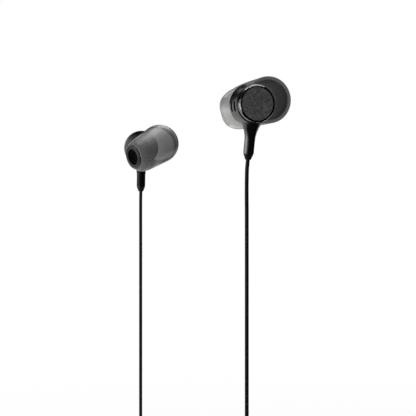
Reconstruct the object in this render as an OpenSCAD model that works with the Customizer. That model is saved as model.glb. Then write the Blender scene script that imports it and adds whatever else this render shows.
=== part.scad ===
// Wired in-ear earphones, in millimetres.
// Each earpiece is drawn in its own frame: +Z out through the face disc, +Y up, the shells' parting
// plane at Z = 0. The far earpiece is the mirror image of the near one. In the whole part +Z is up
// and the origin is the mouth of the near ear tip, where the ear holds it.

/* [Shell] */
// Radius of the shells at their parting plane
shell_r = 6.2; // [6:0.1:6.6]
// Radius of the rear shell at its outer end
shell_end_r = 5.7; // [5.6:0.05:5.9]
// Height of the rear shell
shell_h = 5; // [4.8:0.1:5.4]
// Side wall at the outer end
shell_wall = 0.8; // [0.7:0.05:0.9]
// End wall behind the face disc
end_wall = 0.7; // [0.5:0.05:0.9]
// Thickness of the front shell's plate
plate_t = 0.7; // [0.6:0.05:0.8]
// Height of the lip that centres the two shells
lip_h = 0.85; // [0.6:0.05:0.9]
// Radius of the acoustic vent in the end wall
end_vent_r = 0.45; // [0.3:0.05:0.6]

/* [Side vents] */
// Length of a vent slot
slot_len = 2.5; // [2:0.1:3]
// Width of a vent slot
slot_w = 0.55; // [0.4:0.05:0.6]
// Height of the first slot above the parting plane
slot_z = 1.3; // [1.2:0.1:1.6]
// Step from one slot to the next
slot_step = 2; // [1.5:0.1:2.2]
// Angle of the slots round the shell
slot_angle = 188; // [185:1:200]

/* [Face] */
// Radius of the face disc
disc_r = 4.85; // [4.6:0.05:5]
// Thickness of the face disc
disc_t = 0.5; // [0.4:0.05:0.6]
// Outer radius of the bezel ring
bezel_r = 5.5; // [5.35:0.05:5.6]
// Height of the bezel ring
bezel_h = 1.65; // [1.4:0.05:1.8]

/* [Stem] */
// Tilt of the stem toward the ear
stem_tilt = 12; // [8:1:15]
// Height where the stem's axis crosses the shell's axis
stem_z = 2.9; // [2.7:0.1:3.1]
// Radius of the stem at its lower end
stem_r = 1.55; // [1.5:0.05:1.7]
// Radius of the fillet that runs the stem into the shell
stem_fillet = 10; // [7:0.5:12]
// Length from the shell's axis to the stem's lower end
stem_len = 14.3; // [13:0.1:16]
// Length of the strain relief below the stem
boot_len = 1.9; // [1.5:0.1:3]
// Radius of the strain relief at its lower end
boot_end_r = 0.85; // [0.8:0.05:1]
// Depth of the strain relief's plug in the stem
plug_depth = 1.5; // [1:0.1:2]
// Radius of the strain relief's plug in the stem
plug_r = 1.05; // [0.95:0.05:1.1]

/* [Nozzle] */
// Angle between the nozzle and the shell's axis
nozzle_tilt = 50.1; // [49:0.1:51]
// Turn of the nozzle about the shell's axis
nozzle_turn = 10.4; // [9.5:0.1:11.5]
// Radius of the nozzle between its ridges
nozzle_r = 2.5; // [2.4:0.05:2.6]
// Height of a ridge on the nozzle
ridge_h = 0.3; // [0.2:0.05:0.3]
// Step from ridge to ridge
ridge_step = 1.1; // [0.9:0.05:1.2]
// Radius of the sound bore
bore_r = 1.95; // [1.8:0.05:2.05]
// Radius of the sound duct between the front chamber and the nozzle
duct_r = 1.7; // [1.5:0.05:1.8]
// Depth of the front chamber
chamber_h = 0.4; // [0.3:0.05:0.5]

/* [Ear tip] */
// Radius of the tip's small end
tip_small_r = 6; // [5.9:0.05:6.1]
// Radius of the tip's big end
tip_big_r = 6.9; // [6.8:0.05:7]
// Distance between the centres of the two ends
tip_len = 11.9; // [11.7:0.1:12.1]
// Angle between the tip's axis and the shell's axis
tip_tilt = 31.4; // [31:0.1:32]
// Turn of the tip about the shell's axis
tip_turn = 23.6; // [23:0.1:24.5]
// Wall of the tip at its small end
tip_wall_small = 0.85; // [0.7:0.05:0.9]
// Wall of the tip at its open rim
tip_wall_big = 1.05; // [0.9:0.05:1.1]
// Outer radius of the lip round the mouth
lip_r = 4.0; // [3.9:0.05:4.1]
// Radius of the hole in the mouth
mouth_r = 2.45; // [2.3:0.05:2.5]
// Thickness of the face round the mouth
face_t = 0.75; // [0.6:0.05:0.8]
// Length of the sleeve that grips the nozzle
sleeve_len = 3.5; // [3.2:0.1:3.6]
// Wall of the sleeve
sleeve_wall = 0.7; // [0.5:0.05:0.8]

/* [Driver] */
// Outer radius of the driver
driver_r = 4.5; // [4.2:0.1:4.6]
// Height of the driver's basket
basket_h = 0.85; // [0.8:0.05:0.9]
// Radius of the yoke cup
yoke_r = 2.2; // [2:0.05:2.3]
// Height of the yoke cup
yoke_h = 1.55; // [1.4:0.05:1.7]
// Radius of the magnet
magnet_r = 1.25; // [1.1:0.05:1.3]
// Radius of the voice coil at its middle
coil_r = 1.55; // [1.5:0.01:1.6]

/* [Cord] */
// Diameter of a branch cord
branch_d = 1.2; // [1.1:0.05:1.3]
// Diameter of the main cord
main_d = 2.0; // [1.9:0.05:2.1]
// Middle radius of the near branch's coil
near_coil_r = 6.2; // [6:0.1:6.6]
// Middle radius of the far branch's coil
far_coil_r = 6.8; // [6.6:0.1:7.1]
// Middle radius of the main cord's coil
main_coil_r = 11.5; // [11:0.1:12]
// Thickness of the ties round the coils
tie_t = 0.45; // [0.3:0.05:0.45]
// Width of the ties
tie_w = 3; // [2:0.5:4]

/* [Plug] */
// Radius of the plug's contacts
jack_r = 1.75; // [1.7:0.01:1.8]
// Length of the sleeve contact
jack_sleeve = 6.4; // [6:0.1:6.6]
// Length of the ring contact
jack_ring = 2.3; // [2.1:0.1:2.5]
// Length of an insulator between two contacts
jack_gap = 0.7; // [0.5:0.1:0.8]
// Length of the tip contact
jack_tip = 3.9; // [3.7:0.1:4.1]
// Radius of the plug's grip
grip_r = 2.9; // [2.7:0.1:3.2]
// Length of the plug's grip
grip_len = 15; // [12:1:16]
// Length of the plug's strain relief
relief_len = 9; // [8:1:10]

/* [Splitter] */
// Length of the splitter
split_len = 11; // [10:1:12]
// Radius of the splitter at its main end
split_r = 1.6; // [1.5:0.05:1.7]
// Distance between the two branch cords at the splitter
split_gap = 1.9; // [1.8:0.05:2]

/* [Pose of the earpieces] */
// Turn of the near earpiece about the vertical
near_yaw = 18.6; // [10:0.1:30]
// Upward tilt of the near face disc
near_pitch = -1.9; // [-8:0.1:8]
// Roll of the near earpiece about its own axis
near_roll = -0.5; // [-6:0.1:6]
// Turn of the far earpiece about the vertical
far_yaw = 181.2; // [170:0.1:190]
// Upward tilt of the far face disc
far_pitch = 11.2; // [-8:0.1:14]
// Roll of the far earpiece about its own axis
far_roll = 1; // [-6:0.1:6]

// Distance of the far ear tip's mouth to the left of the near one's
far_left = 31.6; // [28:0.1:34]
// Distance of the far ear tip's mouth behind the near one's
far_back = 48; // [45:0.1:52]
// Distance of the far ear tip's mouth below the near one's
far_down = 11.5; // [9:0.1:14]

/* [Lay of the spare cord] */
// Height at which the near ear tip's mouth hangs over the surface
hang_h = 117; // [110:1:125]
// Radius in which a hanging cord turns onto the surface
land_r = 9; // [8:0.5:10]
// Place of the near branch's coil, back from the near ear tip
near_coil_y = 9; // [8:0.5:10]
// Place of the far branch's coil, back from the near ear tip
far_coil_y = 16; // [15:0.5:17]
// Place of the main cord's coil, back from the near ear tip
main_coil_y = 50; // [49:0.5:51]
// Place of the splitter's middle to the left of the near ear tip
split_left = 3.5; // [3:0.1:4]
// Place of the splitter's branch end, back from the near ear tip
split_y = 27; // [26.5:0.5:28]
// Place of the plug's cord end, back from the near ear tip
plug_y = 32; // [31:0.5:33]

/* [Hidden] */
$fn = 64;
HULL_FN = 32;
// The mouth of the far ear tip, and the surface on which the spare cord lies
far_mouth = [-far_left, far_back, -far_down];
floor_z = -hang_h;
// Gaps: a seat, a running fit, and the room round the soft tip
seat_gap = 0.05;
run_gap = 0.06;
soft_gap = 0.3;

// Ear tip: centre of its small end, in the earpiece's frame
tip_small = [0.94, -0.6, -11.4];
rim_z = -plate_t - soft_gap;
mouth_depth = sqrt(tip_small_r * tip_small_r - lip_r * lip_r);
function along(tilt, turn) = [sin(tilt) * cos(turn), sin(tilt) * sin(turn), cos(tilt)];
nozzle_dir = along(nozzle_tilt, nozzle_turn);
tip_dir = along(tip_tilt, tip_turn);
mouth = tip_small - mouth_depth * nozzle_dir;
tip_big = tip_small + tip_len * tip_dir;

// Nozzle: distances from the mouth plane along its axis
nozzle_start = face_t + 0.15;
sleeve_end = face_t + sleeve_len;
nozzle_end = sleeve_end + 0.4;
ridge_r = nozzle_r + ridge_h;
sleeve_r = ridge_r + run_gap;
neck_r = ridge_r + 0.2;
mesh_t = 0.2;

// Shell: the hollow, the lip and the face
hollow_r = shell_end_r - shell_wall;
hollow_h = shell_h - end_wall;
lip_out_r = (shell_r + hollow_r) / 2 - 0.2;
lip_in_r = hollow_r + 0.07;
disc_z = shell_h + bezel_h - disc_t - 0.1;
ledge_r = disc_r - 0.6;

// Stem: its fillet's centre, beside and along the stem, and the cord's knot inside the shell
fillet_x = stem_r + stem_fillet;
fillet_s = sqrt(pow(shell_end_r + stem_fillet, 2) - fillet_x * fillet_x);
fillet_turn = atan2(fillet_s, fillet_x);
cord_r = branch_d / 2;
knot_r = cord_r + 0.25;
knot_s = hollow_r - knot_r - 0.1;

// Driver: heights above the front shell's plate
gasket_t = 0.15;
basket_t = 0.25;
film_t = 0.12;
board_t = 0.3;
basket_top = gasket_t + basket_h;
yoke_z = basket_top - basket_t;
yoke_t = 0.4;
pole_t = 0.35;
film_r = driver_r - 0.35;
chamber_r = film_r - 0.35;

// Rotations as matrices, for the points where the cords leave the stems
function rx(a) = [[1, 0, 0], [0, cos(a), -sin(a)], [0, sin(a), cos(a)]];
function rz(a) = [[cos(a), -sin(a), 0], [sin(a), cos(a), 0], [0, 0, 1]];
near_turn = rz(near_yaw) * rx(90 - near_pitch) * rz(near_roll);
far_turn = rz(far_yaw) * rx(90 - far_pitch) * rz(far_roll) * [[-1, 0, 0], [0, 1, 0], [0, 0, 1]];
stem_dir = [0, -cos(stem_tilt), -sin(stem_tilt)];
boot_tip = [0, 0, stem_z] + (stem_len + boot_len) * stem_dir;
near_exit = near_turn * (boot_tip - mouth);
near_aim = near_turn * stem_dir;
far_exit = far_mouth + far_turn * (boot_tip - mouth);
far_aim = far_turn * stem_dir;

// Coils: each starts and ends at its outer radius, spirals in and out, and climbs as it reverses
branch_pitch = branch_d + 0.5;
main_pitch = main_d + 0.5;
coil_z = floor_z + tie_t + 0.05;
near_turns = 4;
far_turns = 3.5;
main_turns = 11.5;
BRANCH_LAYERS = 2;
MAIN_LAYERS = 4;
LOOP_RINGS = 24;
COIL_SIDES = 6;
CORD_SIDES = 8;
near_out = near_coil_r + branch_pitch * near_turns / BRANCH_LAYERS / 2;
far_out = far_coil_r + branch_pitch * far_turns / BRANCH_LAYERS / 2;
main_out = main_coil_r + main_pitch * main_turns / MAIN_LAYERS / 2;
near_line = near_exit + 3.5 * near_aim;
far_line = far_exit + 3.5 * far_aim;
near_x = near_line.x;
far_x = far_line.x;
split_x = -split_left;
near_centre = [near_x - near_out, near_coil_y];
far_centre = [far_x + far_out, far_coil_y];
main_centre = [split_x + main_out, main_coil_y];
branch_z = coil_z + cord_r;
main_z = coil_z + main_d / 2;
branch_top = branch_z + branch_pitch;
main_top = main_z + main_pitch * (MAIN_LAYERS - 1);
split_z = floor_z + split_r;
grip_z = floor_z + grip_r;
plug_x = main_centre.x + main_out - 1;
lay_z = floor_z + cord_r;

// Routes: the drops leave straight, fall plumb and turn onto the surface. A stretch that meets
// another starts and ends square to it, so that their flat ends lie face to face
function plumb(p, z, n) = [for (i = [0 : n]) [p.x, p.y, p.z + (z - p.z) * i / n]];
function landing(p, way) = [for (a = [15 : 15 : 90])
    [p.x, p.y + way * land_r * (1 - cos(a)), lay_z + land_r * (1 - sin(a))]];
function square_ends(p, first, last) = concat(
    [p[0], p[0] + 0.3 * first], [for (i = [1 : len(p) - 2]) p[i]],
    [p[len(p) - 1] - 0.3 * last, p[len(p) - 1]]);
FORE = [0, -1, 0];
BACK = [0, 1, 0];
near_drop = square_ends(concat(
    [near_exit, near_exit + 1.2 * near_aim, near_exit + 2.4 * near_aim],
    plumb(near_line - [0, 0, 2.4], lay_z + land_r, 8), landing(near_line, 1),
    [[near_x, near_centre.y - 7, lay_z], [near_x, near_centre.y - 4, branch_z - 0.2]],
    [[near_x, near_centre.y - branch_d, branch_z]]), near_aim, BACK);
far_drop = square_ends(concat(
    [far_exit, far_exit + 1.2 * far_aim, far_exit + 2.4 * far_aim],
    plumb(far_line - [0, 0, 2.4], lay_z + land_r, 8), landing(far_line, -1),
    [for (i = [1 : 3]) [far_x, far_line.y - land_r - 7 * i, lay_z]],
    [[far_x, far_centre.y + 6, lay_z], [far_x, far_centre.y + 3, branch_z - 0.2]],
    [[far_x, far_centre.y + branch_d, branch_z]]), far_aim, FORE);
near_lead = square_ends([
    [near_x, near_centre.y + branch_d, branch_top], [near_x, near_centre.y + 4, branch_top - 0.1],
    [near_x - 0.6, near_centre.y + 7, branch_top - 0.5],
    [near_x - 2.4, split_y - 8, split_z + 0.3],
    [near_x - 5.2, split_y - 5.4, split_z], [near_x - 7.6, split_y - 3, split_z],
    [split_x + split_gap / 2, split_y - 1.2, split_z],
    [split_x + split_gap / 2, split_y, split_z]], BACK, BACK);
far_end_x = far_centre.x + far_out;
far_lead = square_ends([
    [far_end_x, far_centre.y + branch_d, branch_top],
    [far_end_x + 0.3, split_y - 7.6, branch_top - 0.2],
    [far_end_x + 1.6, split_y - 5.4, split_z + 0.3], [far_end_x + 4.2, split_y - 3.4, split_z],
    [split_x - split_gap / 2 - 0.6, split_y - 2, split_z],
    [split_x - split_gap / 2, split_y - 1, split_z],
    [split_x - split_gap / 2, split_y, split_z]], BACK, BACK);
main_lead = square_ends([
    [split_x, split_y + split_len, split_z], [split_x, split_y + split_len + 2, split_z - 0.1],
    [split_x, main_centre.y - 7, main_z], [split_x, main_centre.y - 4, main_z],
    [split_x, main_centre.y - main_d, main_z]], BACK, BACK);
main_tail = square_ends([
    [plug_x + 1, main_centre.y - main_d, main_top],
    [plug_x + 1, main_centre.y - 4, main_top - 0.4],
    [plug_x + 0.9, main_centre.y - 6.4, main_top - 1.8],
    [plug_x + 0.5, main_centre.y - 8.6, main_top - 3.6],
    [plug_x + 0.1, plug_y + 7, grip_z + 1.2], [plug_x, plug_y + 4.4, grip_z + 0.2],
    [plug_x, plug_y + 2, grip_z], [plug_x, plug_y, grip_z]], FORE, FORE);

// A wave that runs from 0 to 1 and back, and a stair that climbs 1 in the half turn where it turns
function zigzag(u) = (floor(u) % 2 == 0) ? u - floor(u) : 1 - (u - floor(u));
function stair(turn, per) =
    let (k = floor(turn / per + 0.5))
    let (d = turn - k * per)
    (k == 0) ? 0 : k - 1 + min(max(d / 0.5 + 0.5, 0), 1);
function coil_points(centre, r_out, pitch, z, turns, layers, start, way) =
    let (per = turns / layers)
    [for (i = [0 : ceil(turns * LOOP_RINGS)])
        let (t = min(i / LOOP_RINGS, turns))
        let (r = r_out - pitch * per * zigzag(t / per * 0.99999))
        let (a = start + way * 360 * t)
        let (level = min(stair(t, per), layers - 1))
        [centre.x + r * cos(a), centre.y + r * sin(a), z + pitch * level]];
function heading(a, way) = way * [-sin(a), cos(a), 0];
function with_ends(p, d, first, last) = concat([p[0] - d * first], p, [p[len(p) - 1] + d * last]);
near_coil_path = with_ends(
    coil_points(near_centre, near_out, branch_pitch, branch_z, near_turns, BRANCH_LAYERS, 0, 1),
    branch_d, BACK, BACK);
far_coil_path = with_ends(
    coil_points(far_centre, far_out, branch_pitch, branch_z, far_turns, BRANCH_LAYERS, 180, 1),
    branch_d, FORE, BACK);
main_coil_path = with_ends(
    coil_points(main_centre, main_out, main_pitch, main_z, main_turns, MAIN_LAYERS, 180, -1),
    main_d, BACK, FORE);

// Least gap between turns, and the length of a path
function gap_of(p, d, apart) = min([for (i = [0 : len(p) - 1]) for (j = [i + apart : 1 : len(p) - 1])
    norm(p[i] - p[j])]) - d;
function length_of(p) = [for (i = 1, s = norm(p[1] - p[0]); i < len(p);
    i = i + 1, s = s + ((i < len(p)) ? norm(p[i] - p[i - 1]) : 0)) s][len(p) - 2];

// Placing
module near_side() {
    rotate([0, 0, near_yaw])
        rotate([90 - near_pitch, 0, 0])
            rotate([0, 0, near_roll])
                translate(-mouth) children();
}

module far_side() {
    translate(far_mouth)
        rotate([0, 0, far_yaw])
            rotate([90 - far_pitch, 0, 0])
                rotate([0, 0, far_roll])
                    mirror([1, 0, 0])
                        translate(-mouth) children();
}

module on_nozzle(t) {
    translate(mouth + t * nozzle_dir) rotate([0, nozzle_tilt, nozzle_turn]) children();
}

module on_stem(s) {
    translate([0, 0, stem_z] + s * stem_dir) rotate([90 + stem_tilt, 0, 0]) children();
}

// Rear shell: a shallow drum with a flared stem, two side vents and a cord bore
module drum() {
    bulge = 1.6;
    edge = 0.3;
    steps = 8;
    wall = [for (i = [0 : steps])
        let (z = (shell_h - edge) * i / steps)
        [shell_end_r + (shell_r - shell_end_r) * (1 - pow(z / shell_h, bulge)), z]];
    rotate_extrude() polygon(concat([[0, 0]], wall, [[shell_end_r - edge, shell_h], [0, shell_h]]));
}

module stem() {
    steps = 10;
    start = fillet_s - stem_fillet * sin(fillet_turn);
    fillet = [for (i = [0 : steps])
        let (a = 180 + fillet_turn * (1 - i / steps))
        [fillet_x + stem_fillet * cos(a), fillet_s + stem_fillet * sin(a) - start]];
    intersection() {
        on_stem(start) rotate_extrude() polygon(concat(
            [[0, 0]], fillet, [[stem_r, stem_len - start], [0, stem_len - start]]));
        translate([-10, -30, -20]) cube([20, 40, 20 + shell_h - 0.15]);
    }
}

module vent_slot() {
    rotate([0, 90, 0]) {
        translate([-slot_w / 2, -(slot_len - slot_w) / 2, 0]) cube([slot_w, slot_len - slot_w, 4]);
        for (side = [-1, 1]) {
            translate([0, side * (slot_len - slot_w) / 2, 0]) cylinder(d = slot_w, h = 4);
        }
    }
}

module rear_shell() {
    color("#1a1b1d") difference() {
        union() {
            drum();
            stem();
        }
        translate([0, 0, -1]) cylinder(r = hollow_r, h = hollow_h + 1);
        translate([0, 0, -1]) cylinder(r = lip_out_r + seat_gap, h = lip_h + seat_gap + 1);
        translate([0, 0, -6]) cylinder(r = shell_r + seat_gap, h = 6);
        translate([0, 0, hollow_h - 1]) cylinder(r = end_vent_r, h = end_wall + 2);
        on_stem(hollow_r - 1) cylinder(r = cord_r + seat_gap, h = stem_len);
        on_stem(stem_len - plug_depth) cylinder(r = plug_r + seat_gap, h = plug_depth + 1);
        for (i = [0, 1]) {
            rotate([0, 0, slot_angle]) translate([hollow_r - 1, 0, slot_z + i * slot_step]) vent_slot();
        }
    }
}

// Face: a rounded ring on the end wall, and the disc on the ring's ledge
module bezel_ring() {
    crown = bezel_r - disc_r - seat_gap;
    top = shell_h + bezel_h;
    arc = [for (a = [0 : 15 : 90])
        [disc_r + seat_gap + crown * cos(a), top - crown * 1.4 * (1 - sin(a))]];
    color("#101114") rotate_extrude() polygon(concat(
        [[ledge_r, shell_h], [bezel_r - 0.15, shell_h], [bezel_r, shell_h + 0.2]], arc,
        [[disc_r + seat_gap, disc_z], [ledge_r, disc_z]]));
}

module face_disc() {
    edge = 0.1;
    top = disc_z + disc_t;
    color("#45474a") rotate_extrude() polygon(
        [[0, disc_z], [disc_r, disc_z], [disc_r, top - edge], [disc_r - edge, top], [0, top]]);
}

// Front shell: a plate with a centring lip, a neck through the tip's opening, and a ridged nozzle
module neck_root() {
    intersection() {
        translate([0, 0, rim_z]) cylinder(r = shell_r - 0.5, h = plate_t, $fn = HULL_FN);
        translate([tip_big.x - 0.3, tip_big.y - 0.15, rim_z])
            cylinder(r = tip_big_r - tip_wall_big - soft_gap, h = plate_t, $fn = HULL_FN);
    }
}

module neck() {
    hull() {
        neck_root();
        on_nozzle(nozzle_end - 0.2) cylinder(r = neck_r, h = 0.3, $fn = HULL_FN);
    }
}

module nozzle() {
    edge = 0.2;
    half = 0.25;
    first = nozzle_start + 0.7;
    ridges = [for (i = [0 : 2]) for (q = [[-1.4, 0], [-0.6, 1], [0.6, 1], [1.4, 0]])
        [nozzle_r + ridge_h * q[1], first - nozzle_start + i * ridge_step + half * q[0]]];
    on_nozzle(nozzle_start) rotate_extrude() polygon(concat(
        [[0, 0], [nozzle_r - edge, 0], [nozzle_r, edge]], ridges,
        [[nozzle_r, nozzle_end - nozzle_start], [0, nozzle_end - nozzle_start]]));
}

module front_shell() {
    duct_top = [2, 0.4, -chamber_h];
    duct_low = mouth + (nozzle_end + 0.3) * nozzle_dir;
    run = duct_top - duct_low;
    color("#1c1d1f") difference() {
        union() {
            rotate_extrude() polygon([
                [0, -plate_t], [shell_r - 0.45, -plate_t], [shell_r - 0.1, -plate_t * 0.55],
                [shell_r, -0.05], [shell_r, 0], [lip_out_r, 0], [lip_out_r, lip_h - 0.15],
                [lip_out_r - 0.15, lip_h], [lip_in_r, lip_h], [lip_in_r, 0], [0, 0]]);
            neck();
            nozzle();
        }
        translate([0, 0, -chamber_h]) cylinder(r = chamber_r, h = 1);
        on_nozzle(0) cylinder(r = bore_r, h = nozzle_end + 0.3);
        translate(duct_low) sphere(r = duct_r);
        translate(duct_low)
            rotate([0, acos(run.z / norm(run)), atan2(run.y, run.x)])
                cylinder(r = duct_r, h = norm(run));
    }
}

module nozzle_mesh() {
    hole_r = 0.2;
    step = 0.75;
    color("#3a3a3c") on_nozzle(nozzle_start + 0.4) difference() {
        cylinder(r = bore_r - 0.02, h = mesh_t);
        for (i = [-2 : 2]) {
            for (j = [-2 : 2]) {
                x = (i + j / 2) * step;
                y = j * step * sin(60);
                if (norm([x, y]) < bore_r - 2 * hole_r) translate([x, y, -1]) cylinder(r = hole_r, h = 2, $fn = 16);
            }
        }
    }
}

// Ear tip: a hollow egg between two spheres, open at its rim, with a beaded mouth and a sleeve
module egg(small_r, big_r) {
    slope = asin((big_r - small_r) / tip_len);
    steps = 10;
    back = [for (i = [0 : steps])
        let (a = -90 + (90 - slope) * i / steps)
        [max(small_r * cos(a), 0), small_r * sin(a)]];
    front = [for (i = [0 : steps])
        let (a = -slope + (90 + slope) * i / steps)
        [max(big_r * cos(a), 0), tip_len + big_r * sin(a)]];
    translate(tip_small) rotate([0, tip_tilt, tip_turn]) rotate_extrude() polygon(concat(back, front));
}

module mouth_face() {
    bead = (lip_r - mouth_r) / 4.4;
    outer = [for (a = [0 : 30 : 180]) [lip_r - bead + bead * cos(a), bead - bead * sin(a)]];
    inner = [for (a = [0 : 30 : 180]) [mouth_r + bead + bead * cos(a), bead - bead * sin(a)]];
    on_nozzle(0) rotate_extrude() polygon(concat(
        [[lip_r, face_t]], outer, inner, [[mouth_r, face_t]]));
}

module ear_tip() {
    color("#77777a") difference() {
        union() {
            difference() {
                egg(tip_small_r, tip_big_r);
                egg(tip_small_r - tip_wall_small, tip_big_r - tip_wall_big);
                on_nozzle(-10) cylinder(r = 12, h = 10 + face_t - 0.3);
            }
            intersection() {
                on_nozzle(face_t - 0.3) cylinder(r = sleeve_r + sleeve_wall, h = sleeve_len + 0.3);
                egg(tip_small_r - 0.1, tip_big_r - 0.1);
            }
            mouth_face();
        }
        on_nozzle(face_t) cylinder(r = sleeve_r, h = sleeve_len + 0.1);
        on_nozzle(-1) cylinder(r = mouth_r, h = 3);
        translate([-30, -30, rim_z]) cube([60, 60, 30]);
    }
}

// Strain relief below the stem, and the end of the cord inside, held by its knot
module strain_relief() {
    bore = cord_r + seat_gap / 2;
    end = plug_depth + boot_len;
    color("#141416") on_stem(stem_len - plug_depth) rotate_extrude() polygon([
        [bore, 0], [plug_r, 0], [plug_r, plug_depth], [stem_r - 0.05, plug_depth],
        [stem_r - 0.1, plug_depth + 0.4], [boot_end_r + 0.1, end - 0.2], [boot_end_r, end], [bore, end]]);
}

module cord_end() {
    color("#0e0e10") union() {
        on_stem(knot_s) cylinder(r = cord_r, h = stem_len + boot_len - knot_s);
        on_stem(knot_s) sphere(r = knot_r);
    }
}

module signal_wires() {
    wire_r = 0.1;
    path_r = 3.4;
    start = -76;
    sweep = 121;
    height = basket_top + board_t + wire_r + 0.02;
    color("#b06a3a") for (side = [0, 1]) {
        mirror([side, 0, 0])
            translate([0, 0, height])
                rotate([0, 0, start])
                    rotate_extrude(angle = sweep) translate([path_r, 0]) circle(r = wire_r, $fn = 16);
    }
}

// Driver: gasket, basket, film with its coil, and the magnet in its yoke
module driver_gasket() {
    color("#2e2e30") difference() {
        cylinder(r = driver_r, h = gasket_t);
        translate([0, 0, -1]) cylinder(r = chamber_r, h = 2);
    }
}

module driver_basket() {
    vents = 6;
    color("#8a8d90") difference() {
        translate([0, 0, gasket_t]) cylinder(r = driver_r, h = basket_h);
        translate([0, 0, gasket_t - 1]) cylinder(r = film_r + seat_gap, h = 1 + basket_h - basket_t);
        cylinder(r = yoke_r + seat_gap / 2, h = 3);
        for (i = [0 : vents - 1]) {
            rotate([0, 0, 360 * i / vents]) translate([(yoke_r + film_r) / 2, 0, yoke_z - 1])
                cylinder(r = 0.35, h = 2);
        }
    }
}

module diaphragm() {
    dome = 0.35;
    roll = 0.2;
    roll_in = coil_r + 0.7;
    roll_out = chamber_r - 0.1;
    low = [for (i = [0 : 6])
        let (r = coil_r * i / 6) [r, gasket_t - dome * cos(90 * r / coil_r)]];
    ring = [for (i = [1 : 6])
        let (r = roll_in + (roll_out - roll_in) * i / 6)
        [r, gasket_t - roll * sin(180 * i / 6) + 0.01]];
    outer = concat(low, ring, [[film_r, gasket_t]]);
    upper = [for (i = [len(outer) - 1 : -1 : 0]) [outer[i].x, outer[i].y + film_t]];
    color("#c9b27a") rotate_extrude() polygon(concat(outer, upper));
}

module voice_coil() {
    wire_t = 0.15;
    color("#b5651d") translate([0, 0, gasket_t + film_t]) difference() {
        cylinder(r = coil_r + wire_t / 2, h = yoke_z + 0.5 - gasket_t - film_t);
        translate([0, 0, -1]) cylinder(r = coil_r - wire_t / 2, h = 4);
    }
}

module pole_plate() {
    color("#9aa0a6") translate([0, 0, yoke_z]) cylinder(r = magnet_r + 0.07, h = pole_t);
}

module magnet() {
    color("#5c6066") translate([0, 0, yoke_z + pole_t])
        cylinder(r = magnet_r, h = yoke_h - yoke_t - pole_t);
}

module yoke() {
    cup_wall = yoke_r - coil_r - 0.25;
    color("#7d8288") translate([0, 0, yoke_z]) difference() {
        cylinder(r = yoke_r, h = yoke_h);
        translate([0, 0, -1]) cylinder(r = yoke_r - cup_wall, h = 1 + yoke_h - yoke_t);
    }
}

module terminal_board() {
    color("#2c6b3c") translate([0, 0, basket_top]) intersection() {
        difference() {
            cylinder(r = driver_r - 0.2, h = board_t);
            translate([0, 0, -1]) cylinder(r = yoke_r + 0.2, h = 2);
        }
        translate([-3, 1.8, -1]) cube([6, 5, 3]);
    }
}

// Vents: a felt dot under the end vent, and a screen behind the side slots
module vent_felt() {
    felt_t = 0.3;
    color("#d8d6cf") translate([0, 0, hollow_h - felt_t]) cylinder(r = end_vent_r * 3, h = felt_t);
}

module vent_screen() {
    screen_t = 0.15;
    low = lip_h + 0.1;
    color("#606266") rotate([0, 0, slot_angle - 20]) translate([0, 0, low]) rotate_extrude(angle = 40)
        translate([hollow_r - screen_t, 0]) square([screen_t, hollow_h - low - 0.1]);
}

// Cords: an unbroken tube swept along a path, with flat ends
module tube(path, r, sides, up) {
    n = len(path);
    function unit(v) = v / norm(v);
    function tangent(i) = unit(path[min(i + 1, n - 1)] - path[max(i - 1, 0)]);
    rings = [for (i = [0 : n - 1])
        let (t = tangent(i))
        let (u = unit(cross(up, t)))
        let (v = cross(t, u))
        for (k = [0 : sides - 1])
            path[i] + r * cos(360 * (k + 0.5) / sides) * u + r * sin(360 * (k + 0.5) / sides) * v];
    sheet = [for (i = [0 : n - 2]) for (k = [0 : sides - 1])
        let (a = i * sides + k)
        let (b = i * sides + (k + 1) % sides)
        each [[a, a + sides, b], [b, a + sides, b + sides]]];
    caps = [for (k = [1 : sides - 2])
        each [[0, k, k + 1], [(n - 1) * sides, (n - 1) * sides + k + 1, (n - 1) * sides + k]]];
    polyhedron(points = rings, faces = concat(sheet, caps), convexity = 10);
}

module cord(path, d, sides, up) {
    color("#121214") tube(path, d / 2, sides, up);
}

// A flat tie round a coil's turns at one place
module tie(centre, angle, r_in, r_out, d, height) {
    gap = 0.1;
    width = r_out - r_in + d + 2 * gap + 2 * tie_t;
    tall = height + 2 * tie_t + gap;
    corner = tie_t * 1.5;
    mid = (r_in + r_out) / 2;
    translate([centre.x, centre.y, floor_z])
        rotate([0, 0, angle])
            translate([mid, tie_w / 2, tall / 2])
                rotate([90, 0, 0])
                    linear_extrude(tie_w) difference() {
                        rounded(width, tall, corner);
                        square([width - 2 * tie_t, tall - 2 * tie_t], center = true);
                    }
}

module rounded(w, h, r) {
    square([w - 2 * r, h], center = true);
    square([w, h - 2 * r], center = true);
    for (x = [-1, 1]) {
        for (y = [-1, 1]) {
            translate([x * (w / 2 - r), y * (h / 2 - r)]) circle(r = r);
        }
    }
}

module branch_ties() {
    height = branch_pitch + branch_d;
    color("#1b1b1e") {
        tie(near_centre, 135, near_coil_r * 2 - near_out, near_out, branch_d, height);
        tie(far_centre, 300, far_coil_r * 2 - far_out, far_out, branch_d, height);
    }
}

module main_tie() {
    color("#1b1b1e") tie(main_centre, 80, main_coil_r * 2 - main_out, main_out, main_d,
        main_pitch * (MAIN_LAYERS - 1) + main_d);
}

// Splitter: two branch cords in, one main cord out
module splitter() {
    wide = split_gap / 2;
    color("#18181a") hull() {
        for (side = [-1, 1]) {
            translate([split_x + side * wide, split_y, split_z])
                rotate([-90, 0, 0]) cylinder(r = split_r - 0.2, h = 1, $fn = HULL_FN);
            translate([split_x + side * wide, split_y + 2, split_z])
                rotate([-90, 0, 0]) cylinder(r = split_r, h = 2, $fn = HULL_FN);
        }
        translate([split_x, split_y + split_len - 1, split_z])
            rotate([-90, 0, 0]) cylinder(r = split_r - 0.3, h = 1, $fn = HULL_FN);
    }
}

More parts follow.
